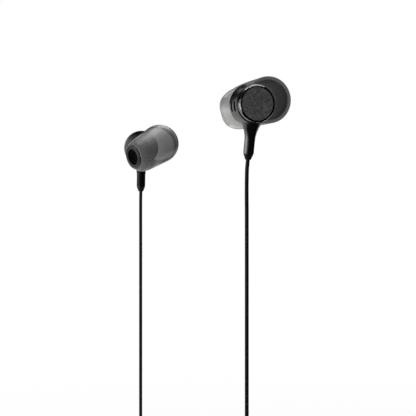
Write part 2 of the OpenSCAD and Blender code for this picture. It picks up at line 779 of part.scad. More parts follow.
// Plug: a three-contact jack with a moulded grip and a ribbed strain relief, lying on its grip
module on_plug(s) {
    translate([plug_x, plug_y - s, grip_z]) rotate([90, 0, 0]) children();
}

module plug_relief() {
    ribs = 5;
    groove = 0.3;
    start_r = main_d / 2 + 0.3;
    pitch = relief_len / ribs;
    steps = [for (i = [0 : ribs - 1])
        let (r = start_r + (grip_r - 0.6 - start_r) * (i + 1) / ribs)
        each [[r, i * pitch], [r + 0.1, (i + 0.62) * pitch], [r - groove, (i + 0.66) * pitch],
            [r - groove, (i + 0.96) * pitch]]];
    color("#161618") on_plug(0) rotate_extrude() polygon(concat([[0, 0]], steps,
        [[grip_r - 0.7, relief_len], [0, relief_len]]));
}

module plug_grip() {
    round = 0.8;
    arc = [for (a = [0 : 15 : 90]) [grip_r - round + round * sin(a), round - round * cos(a)]];
    top = [for (a = [90 : -15 : 0])
        [grip_r - round + round * sin(a), grip_len - round + round * cos(a)]];
    color("#161618") on_plug(relief_len) rotate_extrude() polygon(concat(
        [[0, 0]], arc, top, [[0, grip_len]]));
}

module plug_sleeve() {
    color("#c9a54a") on_plug(relief_len + grip_len) cylinder(r = jack_r, h = jack_sleeve);
}

module plug_ring() {
    color("#c9a54a") on_plug(relief_len + grip_len + jack_sleeve + jack_gap)
        cylinder(r = jack_r, h = jack_ring);
}

module plug_insulators() {
    first = relief_len + grip_len + jack_sleeve;
    color("#0c0c0e") {
        on_plug(first) cylinder(r = jack_r, h = jack_gap);
        on_plug(first + jack_gap + jack_ring) cylinder(r = jack_r, h = jack_gap);
    }
}

module plug_tip() {
    waist = 1.15;
    color("#c9a54a") on_plug(relief_len + grip_len + jack_sleeve + 2 * jack_gap + jack_ring)
        rotate_extrude() polygon([
            [0, 0], [jack_r, 0], [jack_r, jack_tip * 0.12], [waist, jack_tip * 0.4],
            [waist, jack_tip * 0.5], [jack_r - 0.1, jack_tip * 0.68], [jack_r - 0.2, jack_tip * 0.76],
            [0.7, jack_tip * 0.97], [0, jack_tip]]);
}

union() {
    echo(near_gap = gap_of(near_coil_path, branch_d, 12), far_gap = gap_of(far_coil_path, branch_d, 12));
    echo(main_gap = gap_of(main_coil_path, main_d, 12));
    echo(near_length = length_of(near_drop) + length_of(near_coil_path) + length_of(near_lead));
    echo(far_length = length_of(far_drop) + length_of(far_coil_path) + length_of(far_lead));
    echo(main_length = length_of(main_lead) + length_of(main_coil_path) + length_of(main_tail));
    echo(near_exit = near_exit, far_exit = far_exit, near_aim = near_aim, far_aim = far_aim);
}

near_side() rear_shell();  // near_rear_shell
near_side() bezel_ring();  // near_bezel_ring
near_side() face_disc();  // near_face_disc
near_side() front_shell();  // near_front_shell
near_side() nozzle_mesh();  // near_nozzle_mesh
near_side() ear_tip();  // near_ear_tip
near_side() strain_relief();  // near_strain_relief
near_side() cord_end();  // near_cord_end
near_side() signal_wires();  // near_signal_wires
near_side() driver_gasket();  // near_driver_gasket
near_side() driver_basket();  // near_driver_basket
near_side() diaphragm();  // near_diaphragm
near_side() voice_coil();  // near_voice_coil
near_side() pole_plate();  // near_pole_plate
near_side() magnet();  // near_magnet
near_side() yoke();  // near_yoke
near_side() terminal_board();  // near_terminal_board
near_side() vent_felt();  // near_vent_felt
near_side() vent_screen();  // near_vent_screen
far_side() rear_shell();  // far_rear_shell
far_side() bezel_ring();  // far_bezel_ring
far_side() face_disc();  // far_face_disc
far_side() front_shell();  // far_front_shell
far_side() nozzle_mesh();  // far_nozzle_mesh
far_side() ear_tip();  // far_ear_tip
far_side() strain_relief();  // far_strain_relief
far_side() cord_end();  // far_cord_end
far_side() signal_wires();  // far_signal_wires
far_side() driver_gasket();  // far_driver_gasket
far_side() driver_basket();  // far_driver_basket
far_side() diaphragm();  // far_diaphragm
far_side() voice_coil();  // far_voice_coil
far_side() pole_plate();  // far_pole_plate
far_side() magnet();  // far_magnet
far_side() yoke();  // far_yoke
far_side() terminal_board();  // far_terminal_board
far_side() vent_felt();  // far_vent_felt
far_side() vent_screen();  // far_vent_screen
cord(near_drop, branch_d, CORD_SIDES, [1, 0, 0]);  // near_cord_drop
cord(near_coil_path, branch_d, COIL_SIDES, [0, 0, 1]);  // near_cord_coil
cord(near_lead, branch_d, CORD_SIDES, [0, 0, 1]);  // near_cord_lead
cord(far_drop, branch_d, CORD_SIDES, [1, 0, 0]);  // far_cord_drop
cord(far_coil_path, branch_d, COIL_SIDES, [0, 0, 1]);  // far_cord_coil
cord(far_lead, branch_d, CORD_SIDES, [0, 0, 1]);  // far_cord_lead
branch_ties();
splitter();
cord(main_lead, main_d, CORD_SIDES, [0, 0, 1]);  // main_cord_lead
cord(main_coil_path, main_d, COIL_SIDES, [0, 0, 1]);  // main_cord_coil
cord(main_tail, main_d, CORD_SIDES, [0, 0, 1]);  // main_cord_tail
main_tie();
plug_relief();
plug_grip();
plug_sleeve();
plug_ring();
plug_tip();
plug_insulators();
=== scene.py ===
import logging
from dataclasses import dataclass, replace
from enum import Enum
from typing import Any, Callable, ClassVar, Mapping, Sequence

import bpy
import numpy as np
from mathutils import Matrix


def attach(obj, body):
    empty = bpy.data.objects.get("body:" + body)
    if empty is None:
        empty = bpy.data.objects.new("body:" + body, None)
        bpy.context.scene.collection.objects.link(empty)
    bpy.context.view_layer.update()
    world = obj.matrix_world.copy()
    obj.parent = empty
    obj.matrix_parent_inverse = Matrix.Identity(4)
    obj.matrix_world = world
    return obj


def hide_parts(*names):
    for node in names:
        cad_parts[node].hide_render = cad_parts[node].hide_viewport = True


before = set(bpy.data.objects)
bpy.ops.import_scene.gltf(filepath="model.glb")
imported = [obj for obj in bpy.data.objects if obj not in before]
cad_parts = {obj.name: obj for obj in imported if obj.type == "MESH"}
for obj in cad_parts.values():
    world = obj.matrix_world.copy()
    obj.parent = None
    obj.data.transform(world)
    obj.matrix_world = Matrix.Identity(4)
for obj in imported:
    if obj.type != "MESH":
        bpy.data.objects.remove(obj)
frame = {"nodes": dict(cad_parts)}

LOG = logging.getLogger("earphones")
MM = 0.001
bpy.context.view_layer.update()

Array = np.ndarray
Colour = tuple[float, float, float]
Point = tuple[float, float, float]
Pair = tuple[float, float]
Object = bpy.types.Object
Material = bpy.types.Material
UP = np.array([0.0, 0.0, 1.0])
WHITE = (1.0, 1.0, 1.0, 1.0)
NOISE_ROUGHNESS = 0.55
CLOUD_MM = 3.0
ROUTE_SPACING = 0.4
SENSOR_MM = 36.0


# Shapes


def unit(vectors: Array) -> Array:
    """Scale vectors to length one, along their last axis."""
    return vectors / np.linalg.norm(vectors, axis=-1, keepdims=True)


def turn_x(degrees: float) -> Array:
    """Return the matrix of a turn about X."""
    c, s = np.cos(np.radians(degrees)), np.sin(np.radians(degrees))
    return np.array([[1, 0, 0], [0, c, -s], [0, s, c]])


def turn_z(degrees: float) -> Array:
    """Return the matrix of a turn about Z."""
    c, s = np.cos(np.radians(degrees)), np.sin(np.radians(degrees))
    return np.array([[c, -s, 0], [s, c, 0], [0, 0, 1]])


def heading(tilt: float, turn: float) -> Array:
    """Return the unit vector tilted from +Z by one angle and turned about Z by another."""
    t, a = np.radians(tilt), np.radians(turn)
    return np.array([np.sin(t) * np.cos(a), np.sin(t) * np.sin(a), np.cos(t)])


def smooth_route(points: Array, spacing: float) -> Array:
    """Run a smooth curve through listed points.

    The curve is a cubic between each two points. Its slope at a point is the mean of the slopes
    on either side, weighted by how near each neighbour is.

    Args:
        points: the route, one row a point.
        spacing: the distance between two samples.

    Returns:
        The samples, one row a point, with both ends kept.
    """
    step = np.linalg.norm(np.diff(points, axis=0), axis=1)
    s = np.concatenate([[0.0], np.cumsum(step)])
    slope = np.diff(points, axis=0) / step[:, None]
    ends = np.concatenate([slope[:1], slope, slope[-1:]])
    weight = np.concatenate([step[:1], step, step[-1:]])
    tangent = (ends[:-1] * weight[1:, None] + ends[1:] * weight[:-1, None]) / (
        weight[:-1, None] + weight[1:, None])
    at = np.linspace(0.0, s[-1], int(np.ceil(s[-1] / spacing)) + 1)
    i = np.clip(np.searchsorted(s, at, side="right") - 1, 0, len(step) - 1)
    h = step[i][:, None]
    u = ((at - s[i]) / step[i])[:, None]
    return ((1 + 2 * u) * (1 - u) ** 2 * points[i] + u * (1 - u) ** 2 * h * tangent[i]
            + u ** 2 * (3 - 2 * u) * points[i + 1] + u ** 2 * (u - 1) * h * tangent[i + 1])


def round_cone_distance(
        points: Array, small: Array, big: Array, small_r: float, big_r: float) -> Array:
    """Measure the signed distance to the skin stretched over two balls.

    Across the axis the skin is a straight cone that touches both balls; beyond its ends each
    point is nearest to one ball. The three cases are told apart by the height along the axis.

    Args:
        points: any array of points.
        small, big: the two balls' centres.
        small_r, big_r: their radii.

    Returns:
        The distances, below zero inside.
    """
    axis = big - small
    length2 = axis @ axis
    grow = small_r - big_r
    rest = length2 - grow ** 2
    offset = points - small
    y = offset @ axis
    z = y - length2
    x2 = np.sum((offset * length2 - y[..., None] * axis) ** 2, axis=-1)
    y2 = y * y * length2
    z2 = z * z * length2
    k = np.sign(grow) * grow * grow * x2
    side = (np.sqrt(x2 * rest / length2) + y * grow) / length2 - small_r
    near_big = np.sqrt(x2 + z2) / length2 - big_r
    near_small = np.sqrt(x2 + y2) / length2 - small_r
    return np.where(np.sign(z) * rest * z2 > k, near_big,
                    np.where(np.sign(y) * rest * y2 < k, near_small, side))


def new_object(name: str, data: bpy.types.ID) -> Object:
    """Put a new object into the scene."""
    piece = bpy.data.objects.new(name, data)
    bpy.context.scene.collection.objects.link(piece)
    return piece


def closed_grid(name: str, rings: Array, values: Mapping[str, Array]) -> Object:
    """Make a closed tube of rings whose last ring joins the first, like a ring doughnut.

    Args:
        name: the object's name.
        rings: points in metres, rings x samples x 3.
        values: numbers kept on the mesh as attributes, each one number a ring.

    Returns:
        The object, shaded smooth.
    """
    count, samples = rings.shape[:2]
    a = np.arange(count * samples).reshape(count, samples)
    b = np.roll(a, -1, axis=0)
    faces = np.stack([a, np.roll(a, -1, axis=1), np.roll(b, -1, axis=1), b], axis=-1).reshape(-1, 4)
    mesh = bpy.data.meshes.new(name)
    mesh.from_pydata(rings.reshape(-1, 3), [], faces.tolist())
    mesh.shade_smooth()
    for key, value in values.items():
        attribute = mesh.attributes.new(key, "FLOAT", "POINT")
        attribute.data.foreach_set("value", np.repeat(value, samples).astype(np.float32))
    return new_object(name, mesh)


# Placing


class Side(Enum):
    """The two earpieces."""

    NEAR = "near"
    FAR = "far"


@dataclass(frozen=True)
class Place:
    """Where an earpiece is: its own frame has +Z out of the face and +Y up, in millimetres.

    Attributes:
        mouth: the ear tip's mouth in the whole part's frame.
        yaw: turn about the vertical.
        pitch: upward tilt of the face.
        roll: roll about the earpiece's own axis.
        mirrored: true for the far earpiece, the near one's mirror image.
    """

    mouth: Point
    yaw: float
    pitch: float
    roll: float
    mirrored: bool

    def turn(self) -> Array:
        """Return the turn from the earpiece's frame to the part's frame."""
        return turn_z(self.yaw) @ turn_x(90 - self.pitch) @ turn_z(self.roll)

    def to_part(self, points: Array, mouth: Array) -> Array:
        """Carry points from the earpiece's frame to the part's frame.

        Args:
            points: points in the earpiece's frame, in millimetres.
            mouth: the mouth in the same frame.

        Returns:
            The points in metres.
        """
        local = points - mouth
        if self.mirrored:
            local = local * np.array([-1.0, 1.0, 1.0])
        return (local @ self.turn().T + np.array(self.mouth)) * MM


PLACES = {
    Side.NEAR: Place(mouth=(0.0, 0.0, 0.0), yaw=18.6, pitch=-1.9, roll=-0.5, mirrored=False),
    Side.FAR: Place(mouth=(-31.6, 48.0, -11.5), yaw=181.2, pitch=11.2, roll=1.0, mirrored=True),
}


@dataclass(frozen=True)
class Shape:
    """The sizes that an earpiece's soft tip and cord share with its shells.

    All are millimetres in the earpiece's frame, and the angles are degrees. The mouth's radius
    alone isn't the solid's: it is 0.35 mm more.
    """

    small: Point = (0.94, -0.6, -11.4)
    small_r: float = 6.0
    big_r: float = 6.9
    length: float = 11.9
    tilt: float = 31.4
    turn: float = 23.6
    wall_small: float = 0.85
    wall_big: float = 1.05
    nozzle_tilt: float = 50.1
    nozzle_turn: float = 10.4
    lip_r: float = 4.0
    mouth_r: float = 2.8
    face_t: float = 0.75
    sleeve_len: float = 3.5
    sleeve_r: float = 2.86
    sleeve_wall: float = 0.7
    rim_z: float = -1.0
    stem_tilt: float = 12.0
    stem_z: float = 2.9
    stem_reach: float = 16.2

    @property
    def nozzle(self) -> Array:
        """Return the nozzle's direction, from the mouth inward."""
        return heading(self.nozzle_tilt, self.nozzle_turn)

    @property
    def big(self) -> Array:
        """Return the centre of the tip's big end."""
        return np.array(self.small) + self.length * heading(self.tilt, self.turn)

    @property
    def mouth(self) -> Array:
        """Return the centre of the mouth, where the lip lies on the small ball."""
        return np.array(self.small) - np.sqrt(self.small_r ** 2 - self.lip_r ** 2) * self.nozzle

    @property
    def stem(self) -> Array:
        """Return the stem's direction."""
        t = np.radians(self.stem_tilt)
        return np.array([0.0, -np.cos(t), -np.sin(t)])

    def cord_exit(self, place: Place) -> tuple[Array, Array]:
        """Return where a cord leaves its strain relief, and its direction, in millimetres."""
        tip = np.array([0.0, 0.0, self.stem_z]) + self.stem_reach * self.stem
        ends = place.to_part(np.stack([tip, tip + self.stem]), self.mouth) / MM
        return ends[0], ends[1] - ends[0]


SHAPE = Shape()


# Finishes


def math_method(operation: str, swapped: bool = False) -> Callable[..., "Link"]:
    """Make a method of Link that adds one Math node.

    Args:
        operation: what the node works out.
        swapped: true where the other value comes first.

    Returns:
        The method.
    """
    def method(link: "Link", *others: "Link | float") -> "Link":
        """Add the node and return its output."""
        values = (*others, link) if swapped else (link, *others)
        return link.kit.node("Math", {"operation": operation}, dict(enumerate(values)))
    return method


class Link:
    """A shader socket on which arithmetic can be written; each operation adds one Math node."""

    def __init__(self, kit: "Kit", socket: bpy.types.NodeSocket) -> None:
        self.kit = kit
        self.socket = socket

    __add__, __radd__ = math_method("ADD"), math_method("ADD", swapped=True)
    __sub__, __rsub__ = math_method("SUBTRACT"), math_method("SUBTRACT", swapped=True)
    __mul__, __rmul__ = math_method("MULTIPLY"), math_method("MULTIPLY", swapped=True)
    __pow__ = math_method("POWER")
    size = math_method("ABSOLUTE")
    at_least = math_method("MAXIMUM")
    sine = math_method("SINE")

    def rise(self, low: float, high: float) -> "Link":
        """Return 0 below low, 1 above high and a smooth rise between."""
        return self.kit.node(
            "MapRange", {"interpolation_type": "SMOOTHSTEP"}, {0: self, 1: low, 2: high})


class Kit:
    """Builds one node tree, a material's or the world's."""

    def __init__(self, name: str, owner: bpy.types.World | None = None) -> None:
        """Start an empty tree, in a new material of that name unless an owner is given."""
        self.owner = owner or bpy.data.materials.new(name)
        self.owner.use_nodes = True
        self.tree = self.owner.node_tree
        self.tree.nodes.clear()

    def node(self, kind: str, settings: Mapping[str, Any] | None = None,
             inputs: Mapping[int | str, Any] | None = None, output: int | str = 0) -> Link:
        """Add a node.

        Args:
            kind: the node's type, without the ShaderNode at its front.
            settings: its properties, set first.
            inputs: values or links for its sockets, by index or name.
            output: the output to return.

        Returns:
            The output as a link.
        """
        node = self.tree.nodes.new(f"ShaderNode{kind}")
        for key, value in (settings or {}).items():
            setattr(node, key, value)
        for key, value in (inputs or {}).items():
            if isinstance(value, Link):
                self.tree.links.new(value.socket, node.inputs[key])
            else:
                node.inputs[key].default_value = value
        return Link(self, node.outputs[output])

    def place(self) -> Link:
        """Return the point on the object, in metres."""
        return self.node("TexCoord", output="Object")

    def split(self, vector: Link) -> tuple[Link, ...]:
        """Return a vector's three parts."""
        return tuple(self.node("SeparateXYZ", None, {0: vector}, i) for i in range(3))

    def clouds(self, vector: Link, scale: float, detail: float, **more: float) -> Link:
        """Return cloud noise from 0 to 1; more sets the node's other inputs."""
        return self.node("TexNoise", {"noise_dimensions": "3D"},
                         {"Vector": vector, "Scale": scale, "Detail": detail, **more}, "Fac")

    def noise(self, vector: Link, size_mm: float, detail: float = 3.0) -> Link:
        """Return cloud noise whose clouds are about size_mm across."""
        return self.clouds(vector, 1.0 / (size_mm * MM), detail, Roughness=NOISE_ROUGHNESS)

    def blend(self, factor: Link | float, a: Colour | Link, b: Colour | Link) -> Link:
        """Return a colour between a and b."""
        colours = {key: (*value, 1.0) if isinstance(value, tuple) else value
                   for key, value in ((6, a), (7, b))}
        return self.node("Mix", {"data_type": "RGBA"}, {0: factor, **colours}, 2)

    def bump(self, height: Link, depth_mm: float, strength: float = 1.0) -> Link:
        """Return the normal of a relief whose height runs from 0 to 1."""
        return self.node(
            "Bump", None,
            {"Strength": strength, "Distance": depth_mm * MM, "Height": height}, "Normal")

    def principled(self, **inputs: Any) -> Link:
        """Add the main shader; underscores in the names stand for spaces."""
        named = {key.replace("_", " "): value for key, value in inputs.items()}
        return self.node("BsdfPrincipled", None, named, "BSDF")

    def finish(self, shader: Link, kind: str = "Material") -> Any:
        """Send a shader to the output and return the material or world."""
        output = self.tree.nodes.new(f"ShaderNodeOutput{kind}")
        self.tree.links.new(shader.socket, output.inputs["Surface"])
        return self.owner


def scaled(colour: Colour, factor: float) -> Colour:
    """Return a colour made brighter or darker by a factor."""
    return tuple(factor * c for c in colour)


@dataclass(frozen=True)
class Finish:
    """A surface that builds its own material.

    Attributes:
        name: the finish's name.
    """

    name: str

    def material(self) -> Material:
        """Build the material."""
        raise NotImplementedError


@dataclass(frozen=True)
class Moulded(Finish):
    """Moulded plastic or rubber with a fine grain and a little cloudiness in its gloss.

    Attributes:
        colour: its colour.
        roughness: how dull it is, 0 to 1.
        grain_mm: size of the grain.
        grain_depth_mm: depth of the grain.
        specular: strength of its plain reflection, 0.5 for an index of 1.5.
    """

    colour: Colour
    roughness: float
    grain_mm: float = 0.12
    grain_depth_mm: float = 0.002
    specular: float = 0.5

    def material(self) -> Material:
        """Build the material."""
        kit = Kit(self.name)
        place = kit.place()
        cloud = kit.noise(place, CLOUD_MM, 2.0)
        grain = kit.noise(place, self.grain_mm, 2.0)
        pale = tuple(min(1.25 * c + 0.001, 1.0) for c in self.colour)
        return kit.finish(kit.principled(
            Base_Color=kit.blend(cloud, scaled(self.colour, 0.75), pale),
            Roughness=(cloud * (0.3 * self.roughness) + grain * (0.1 * self.roughness)
                       + 0.8 * self.roughness),
            Specular_IOR_Level=self.specular,
            Normal=kit.bump(grain, self.grain_depth_mm, 0.6)))


@dataclass(frozen=True)
class Metal(Finish):
    """Plated or drawn metal with faint clouds and fine scratches.

    Attributes:
        colour: the metal's colour.
        roughness: how dull it is.
        scratch_mm: spacing of the scratches, or their grain.
        stretch: how much longer than wide a scratch is, along Z.
    """

    colour: Colour
    roughness: float
    scratch_mm: float = 0.15
    stretch: float = 1.0

    def material(self) -> Material:
        """Build the material."""
        kit = Kit(self.name)
        place = kit.place()
        run = kit.node("Mapping", None,
                       {"Vector": place, "Scale": (1.0, 1.0, 1.0 / self.stretch)})
        cloud = kit.noise(place, 2.0)
        scratch = kit.noise(run, self.scratch_mm, 4.0)
        return kit.finish(kit.principled(
            Base_Color=kit.blend(cloud, scaled(self.colour, 0.8), self.colour),
            Metallic=1.0,
            Roughness=self.roughness * (0.75 + 0.3 * cloud + 0.2 * scratch),
            Normal=kit.bump(scratch, 0.002, 0.4)))


@dataclass(frozen=True)
class Fibre(Finish):
    """Felt or foam: pale threads, with painted shade in the darker hollows between them.

    Attributes:
        colour: the threads' colour.
        thread_mm: the threads' size.
    """

    colour: Colour
    thread_mm: float = 0.1

    def material(self) -> Material:
        """Build the material."""
        kit = Kit(self.name)
        thread = kit.noise(kit.place(), self.thread_mm, 5.0)
        # The hollows between threads are darkened: painted shade.
        return kit.finish(kit.principled(
            Base_Color=kit.blend(thread.rise(0.3, 0.6), scaled(self.colour, 0.45), self.colour),
            Roughness=0.95,
            Normal=kit.bump(thread, 0.03)))


def earpiece_point(kit: Kit, place: Place) -> Link:
    """Return the point in an earpiece's own frame, in millimetres.

    A mirrored earpiece's turn isn't a turn alone, so its mirror goes into the scale, which the
    Mapping node applies first, and the turn is mirrored on both sides.
    """
    flip = np.diag([-1.0, 1.0, 1.0]) if place.mirrored else np.eye(3)
    back = flip @ place.turn().T @ flip
    shift = SHAPE.mouth - flip @ place.turn().T @ np.array(place.mouth)
    return kit.node("Mapping", None,
                    {"Vector": kit.place(), "Location": tuple(shift),
                     "Rotation": tuple(Matrix(back.tolist()).to_euler("XYZ")),
                     "Scale": tuple(np.diag(flip) / MM)})


@dataclass(frozen=True)
class PlacedFinish(Finish):
    """A finish that follows an earpiece's own frame.

    Attributes:
        place: where the earpiece is.
    """

    place: Place


@dataclass(frozen=True)
class SlottedGloss(PlacedFinish):
    """Gloss black with painted shade round its side slots, where they turn in to the hollow drum.

    Attributes:
        colour: the gloss's colour.
        roughness: how dull it is.
        specular: strength of its plain reflection, 0.5 for an index of 1.5.
        angle: direction of the slots round the drum, in degrees.
        heights: height of each slot above the parting plane, in millimetres.
        half_straight: half the length of a slot between its round ends.
        half_width: half the width of a slot with its painted shade.
        inner_r: radius inside which there is no slot.
        soft: half the width over which the painted shade fades.
    """

    colour: Colour = (0.004, 0.004, 0.0043)
    roughness: float = 0.2
    specular: float = 0.7
    angle: float = 188.0
    heights: tuple[float, ...] = (1.3, 3.3)
    half_straight: float = 0.975
    half_width: float = 0.5
    inner_r: float = 3.0
    soft: float = 0.06

    def material(self) -> Material:
        """Build the material. Round each slot the gloss gives way to matt black, which reflects
        next to nothing: painted shade.
        """
        kit = Kit(self.name)
        x, y, z = kit.split(earpiece_point(kit, self.place))
        c, s = float(np.cos(np.radians(self.angle))), float(np.sin(np.radians(self.angle)))
        across = ((y * c - x * s).size() - self.half_straight).at_least(0.0)
        rows = [(across ** 2 + (z - height) ** 2) ** 0.5 for height in self.heights]
        inside = [1.0 - row.rise(self.half_width - self.soft, self.half_width + self.soft)
                  for row in rows]
        # Painted shade: a matt black band round each slot, outside the inner radius.
        edge = (inside[0] + inside[1]) * (x * c + y * s).rise(self.inner_r, self.inner_r + 0.5)
        cloud = kit.noise(kit.place(), CLOUD_MM, 2.0)
        gloss = kit.principled(
            Base_Color=(*self.colour, 1.0), Roughness=self.roughness + 0.03 * cloud,
            Specular_IOR_Level=self.specular)
        matt = kit.node("BsdfDiffuse", None, {"Color": (0.001, 0.001, 0.001, 1.0)})
        return kit.finish(kit.node("MixShader", None, {0: edge, 1: gloss, 2: matt}))


@dataclass(frozen=True)
class PlateSatin(PlacedFinish):
    """Satin black with a painted sheen: paler round the outer band of the plate which closes the
    drum, and fading out towards the top.

    Attributes:
        colour: the nozzle's and neck's colour.
        painted_sheen: the band's colour, a painted sheen.
        band_r: radius at which the band starts, in millimetres.
        band_fade: width over which the band comes in.
        plate_z: depths between which the plate takes over from the neck.
        top: height above which the band is dark again.
        top_fade: height over which it darkens.
    """

    colour: Colour = (0.004, 0.004, 0.0042)
    painted_sheen: Colour = (0.15, 0.15, 0.148)
    band_r: float = 3.9
    band_fade: float = 1.2
    plate_z: Pair = (-1.6, -0.9)
    top: float = 5.6
    top_fade: float = 3.4

    def material(self) -> Material:
        """Build the material."""
        kit = Kit(self.name)
        x, y, z = kit.split(earpiece_point(kit, self.place))
        radius = (x * x + y * y) ** 0.5
        # Painted sheen: a paler band round the plate's outer edge, fading out towards the top,
        # stands in for reflected light.
        band = radius.rise(self.band_r, self.band_r + self.band_fade) * z.rise(*self.plate_z)
        fade = 1.0 - y.rise(self.top - self.top_fade, self.top)
        cloud = kit.noise(kit.place(), 2.0, 3.0)
        return kit.finish(kit.principled(
            Base_Color=kit.blend(band * fade * (0.7 + 0.5 * cloud), self.colour, self.painted_sheen),
            Roughness=0.45 + 0.1 * cloud,
            Specular_IOR_Level=0.04))


@dataclass(frozen=True)
class SpunDisc(PlacedFinish):
    """Dark anodised metal with the fine rings that a lathe leaves, broken by a brushed haze.

    Attributes:
        colour: the disc's colour.
        ring_mm: spacing of the rings.
    """

    colour: Colour = (0.1, 0.1, 0.101)
    ring_mm: float = 0.11

    def material(self) -> Material:
        """Build the material. The rings are a sine of the distance from the disc's axis."""
        kit = Kit(self.name)
        local = earpiece_point(kit, self.place)
        flat = kit.node("VectorMath", {"operation": "MULTIPLY"},
                        {0: local, 1: (1.0, 1.0, 0.0)})
        radius = kit.node("VectorMath", {"operation": "LENGTH"}, {0: flat}, "Value")
        ripple = kit.clouds(flat, 1.4, 4.0)
        hair = kit.node("Mapping", None,
                        {"Vector": local, "Rotation": (0.0, 0.0, np.radians(-20)),
                         "Scale": (0.35, 3.0, 1.0)})
        streak = kit.clouds(hair, 2.6, 6.0)
        rings = (radius * (2 * np.pi / self.ring_mm) + ripple * 4.0).sine() * 0.5 + 0.5
        arc = kit.node("VectorMath", {"operation": "SCALE"}, {0: flat, "Scale": 0.28})
        swirl = kit.clouds(arc, 3.0, 5.0, Distortion=1.6)
        shade = streak * 0.45 + rings * 0.15 + swirl * 0.4
        deep, pale = scaled(self.colour, 0.3), scaled(self.colour, 1.7)
        return kit.finish(kit.principled(
            Base_Color=kit.blend(shade.rise(0.38, 0.62), deep, pale),
            Metallic=0.2,
            Roughness=0.42 + 0.16 * streak,
            Specular_IOR_Level=0.3,
            Normal=kit.bump(rings * 0.5 + streak * 0.5, 0.006, 0.5)))


@dataclass(frozen=True)
class Silicone(Finish):
    """Smoke-grey silicone, clearer where it is thin, with a satin skin and painted shade in its
    mouth.

    Attributes:
        thin, thick: colours of the two ends.
        hollow: colour of the thick end's inner wall, painted shade.
        rim, mouth: colours of the open end's edge and of the beaded mouth, whose dark colour is
            painted shade of the mouth and its bore.
        outline, thin_outline_and_highlight: colours of a wall seen edge on, at the thick and thin
            end; a pale thin-end colour is a painted highlight along the edge.
        seam: colour of the line where the inner wall turns out to the rim.
        thin_cover, thick_cover: how much each end hides, 0 to 1.
        levels: heights between which the tone goes from lower to upper, in metres.
        painted_light_low_thin, painted_shade_low_thick: how bright each end is below them, 1 being
        as above; painted light and shade for how the lamps fall on each end.
        roughness: how dull the skin is.
    """

    thin: Colour = (0.2, 0.2, 0.197)
    thick: Colour = (0.15, 0.15, 0.147)
    hollow: Colour = (0.015, 0.015, 0.015)
    rim: Colour = (0.13, 0.13, 0.125)
    mouth: Colour = (0.014, 0.014, 0.014)
    outline: Colour = (0.03, 0.03, 0.029)
    thin_outline_and_highlight: Colour = (0.03, 0.03, 0.029)
    seam: Colour = (0.05, 0.05, 0.049)
    thin_cover: float = 0.45
    thick_cover: float = 0.7
    levels: Pair = (-0.001, 0.003)
    painted_light_low_thin: float = 1.0
    painted_shade_low_thick: float = 1.0
    roughness: float = 0.28
    SEAM_START: ClassVar[Pair] = (0.74, 0.78)
    SEAM_END: ClassVar[Pair] = (0.81, 0.86)
    THIN_TO_THICK: ClassVar[Pair] = (0.35, 0.65)
    EDGE_ON: ClassVar[Pair] = (0.45, 0.82)

    def material(self) -> Material:
        """Build the material. It is darker and covers more where the wall is seen edge on."""
        kit = Kit(self.name)
        along, inside, rim, mouth = (
            kit.node("Attribute", {"attribute_name": key}, None, "Fac")
            for key in ("along", "inside", "rim", "mouth"))
        skin = kit.noise(kit.place(), 1.5, 2.0)
        edge = kit.node("LayerWeight", None, {"Blend": 0.35}, "Facing")
        cover = along * (self.thick_cover - self.thin_cover) + self.thin_cover
        shut = (edge ** 2.5 + mouth + rim).rise(0.0, 1.0)
        # Painted light and shade: below the levels each end's tone is scaled brighter or darker for
        # how the lamps fall on it.
        height = kit.split(kit.place())[2]
        low = kit.blend(along, scaled(self.thin, self.painted_light_low_thin), scaled(self.thick, self.painted_shade_low_thick))
        body = kit.blend(height.rise(*self.levels), low, kit.blend(along, self.thin, self.thick))
        line = along.rise(*self.SEAM_START) * (1.0 - along.rise(*self.SEAM_END))
        # On the thin end a pale outline colour paints a highlight along the tip's edge.
        outline = kit.blend(along.rise(*self.THIN_TO_THICK), self.thin_outline_and_highlight, self.outline)
        edged = kit.blend(edge.rise(*self.EDGE_ON), body, outline)
        wall = kit.blend(line * 0.8, edged, self.seam)
        # Painted shade: the inner wall of the thick end is darkened towards the hollow colour.
        shaded = kit.blend(inside * along, wall, self.hollow)
        # The mouth and bore take a dark colour: painted shade.
        return kit.finish(kit.principled(
            Base_Color=kit.blend(mouth, kit.blend(rim, shaded, self.rim), self.mouth),
            Roughness=self.roughness + 0.08 * skin,
            Specular_IOR_Level=0.4,
            Alpha=cover + (1.0 - cover) * shut,
            Normal=kit.bump(skin, 0.004, 0.3)))


# Both tips are one silicone: the two finishes' different tones are painted light and shade for how
# each tip is lit.
NEAR_SILICONE = Silicone(
    "near_silicone", thin=(0.4, 0.4, 0.395), hollow=(0.085, 0.085, 0.083),
    rim=(0.19, 0.19, 0.186), thin_cover=0.5, thick_cover=0.97, painted_light_low_thin=1.7, painted_shade_low_thick=0.5)
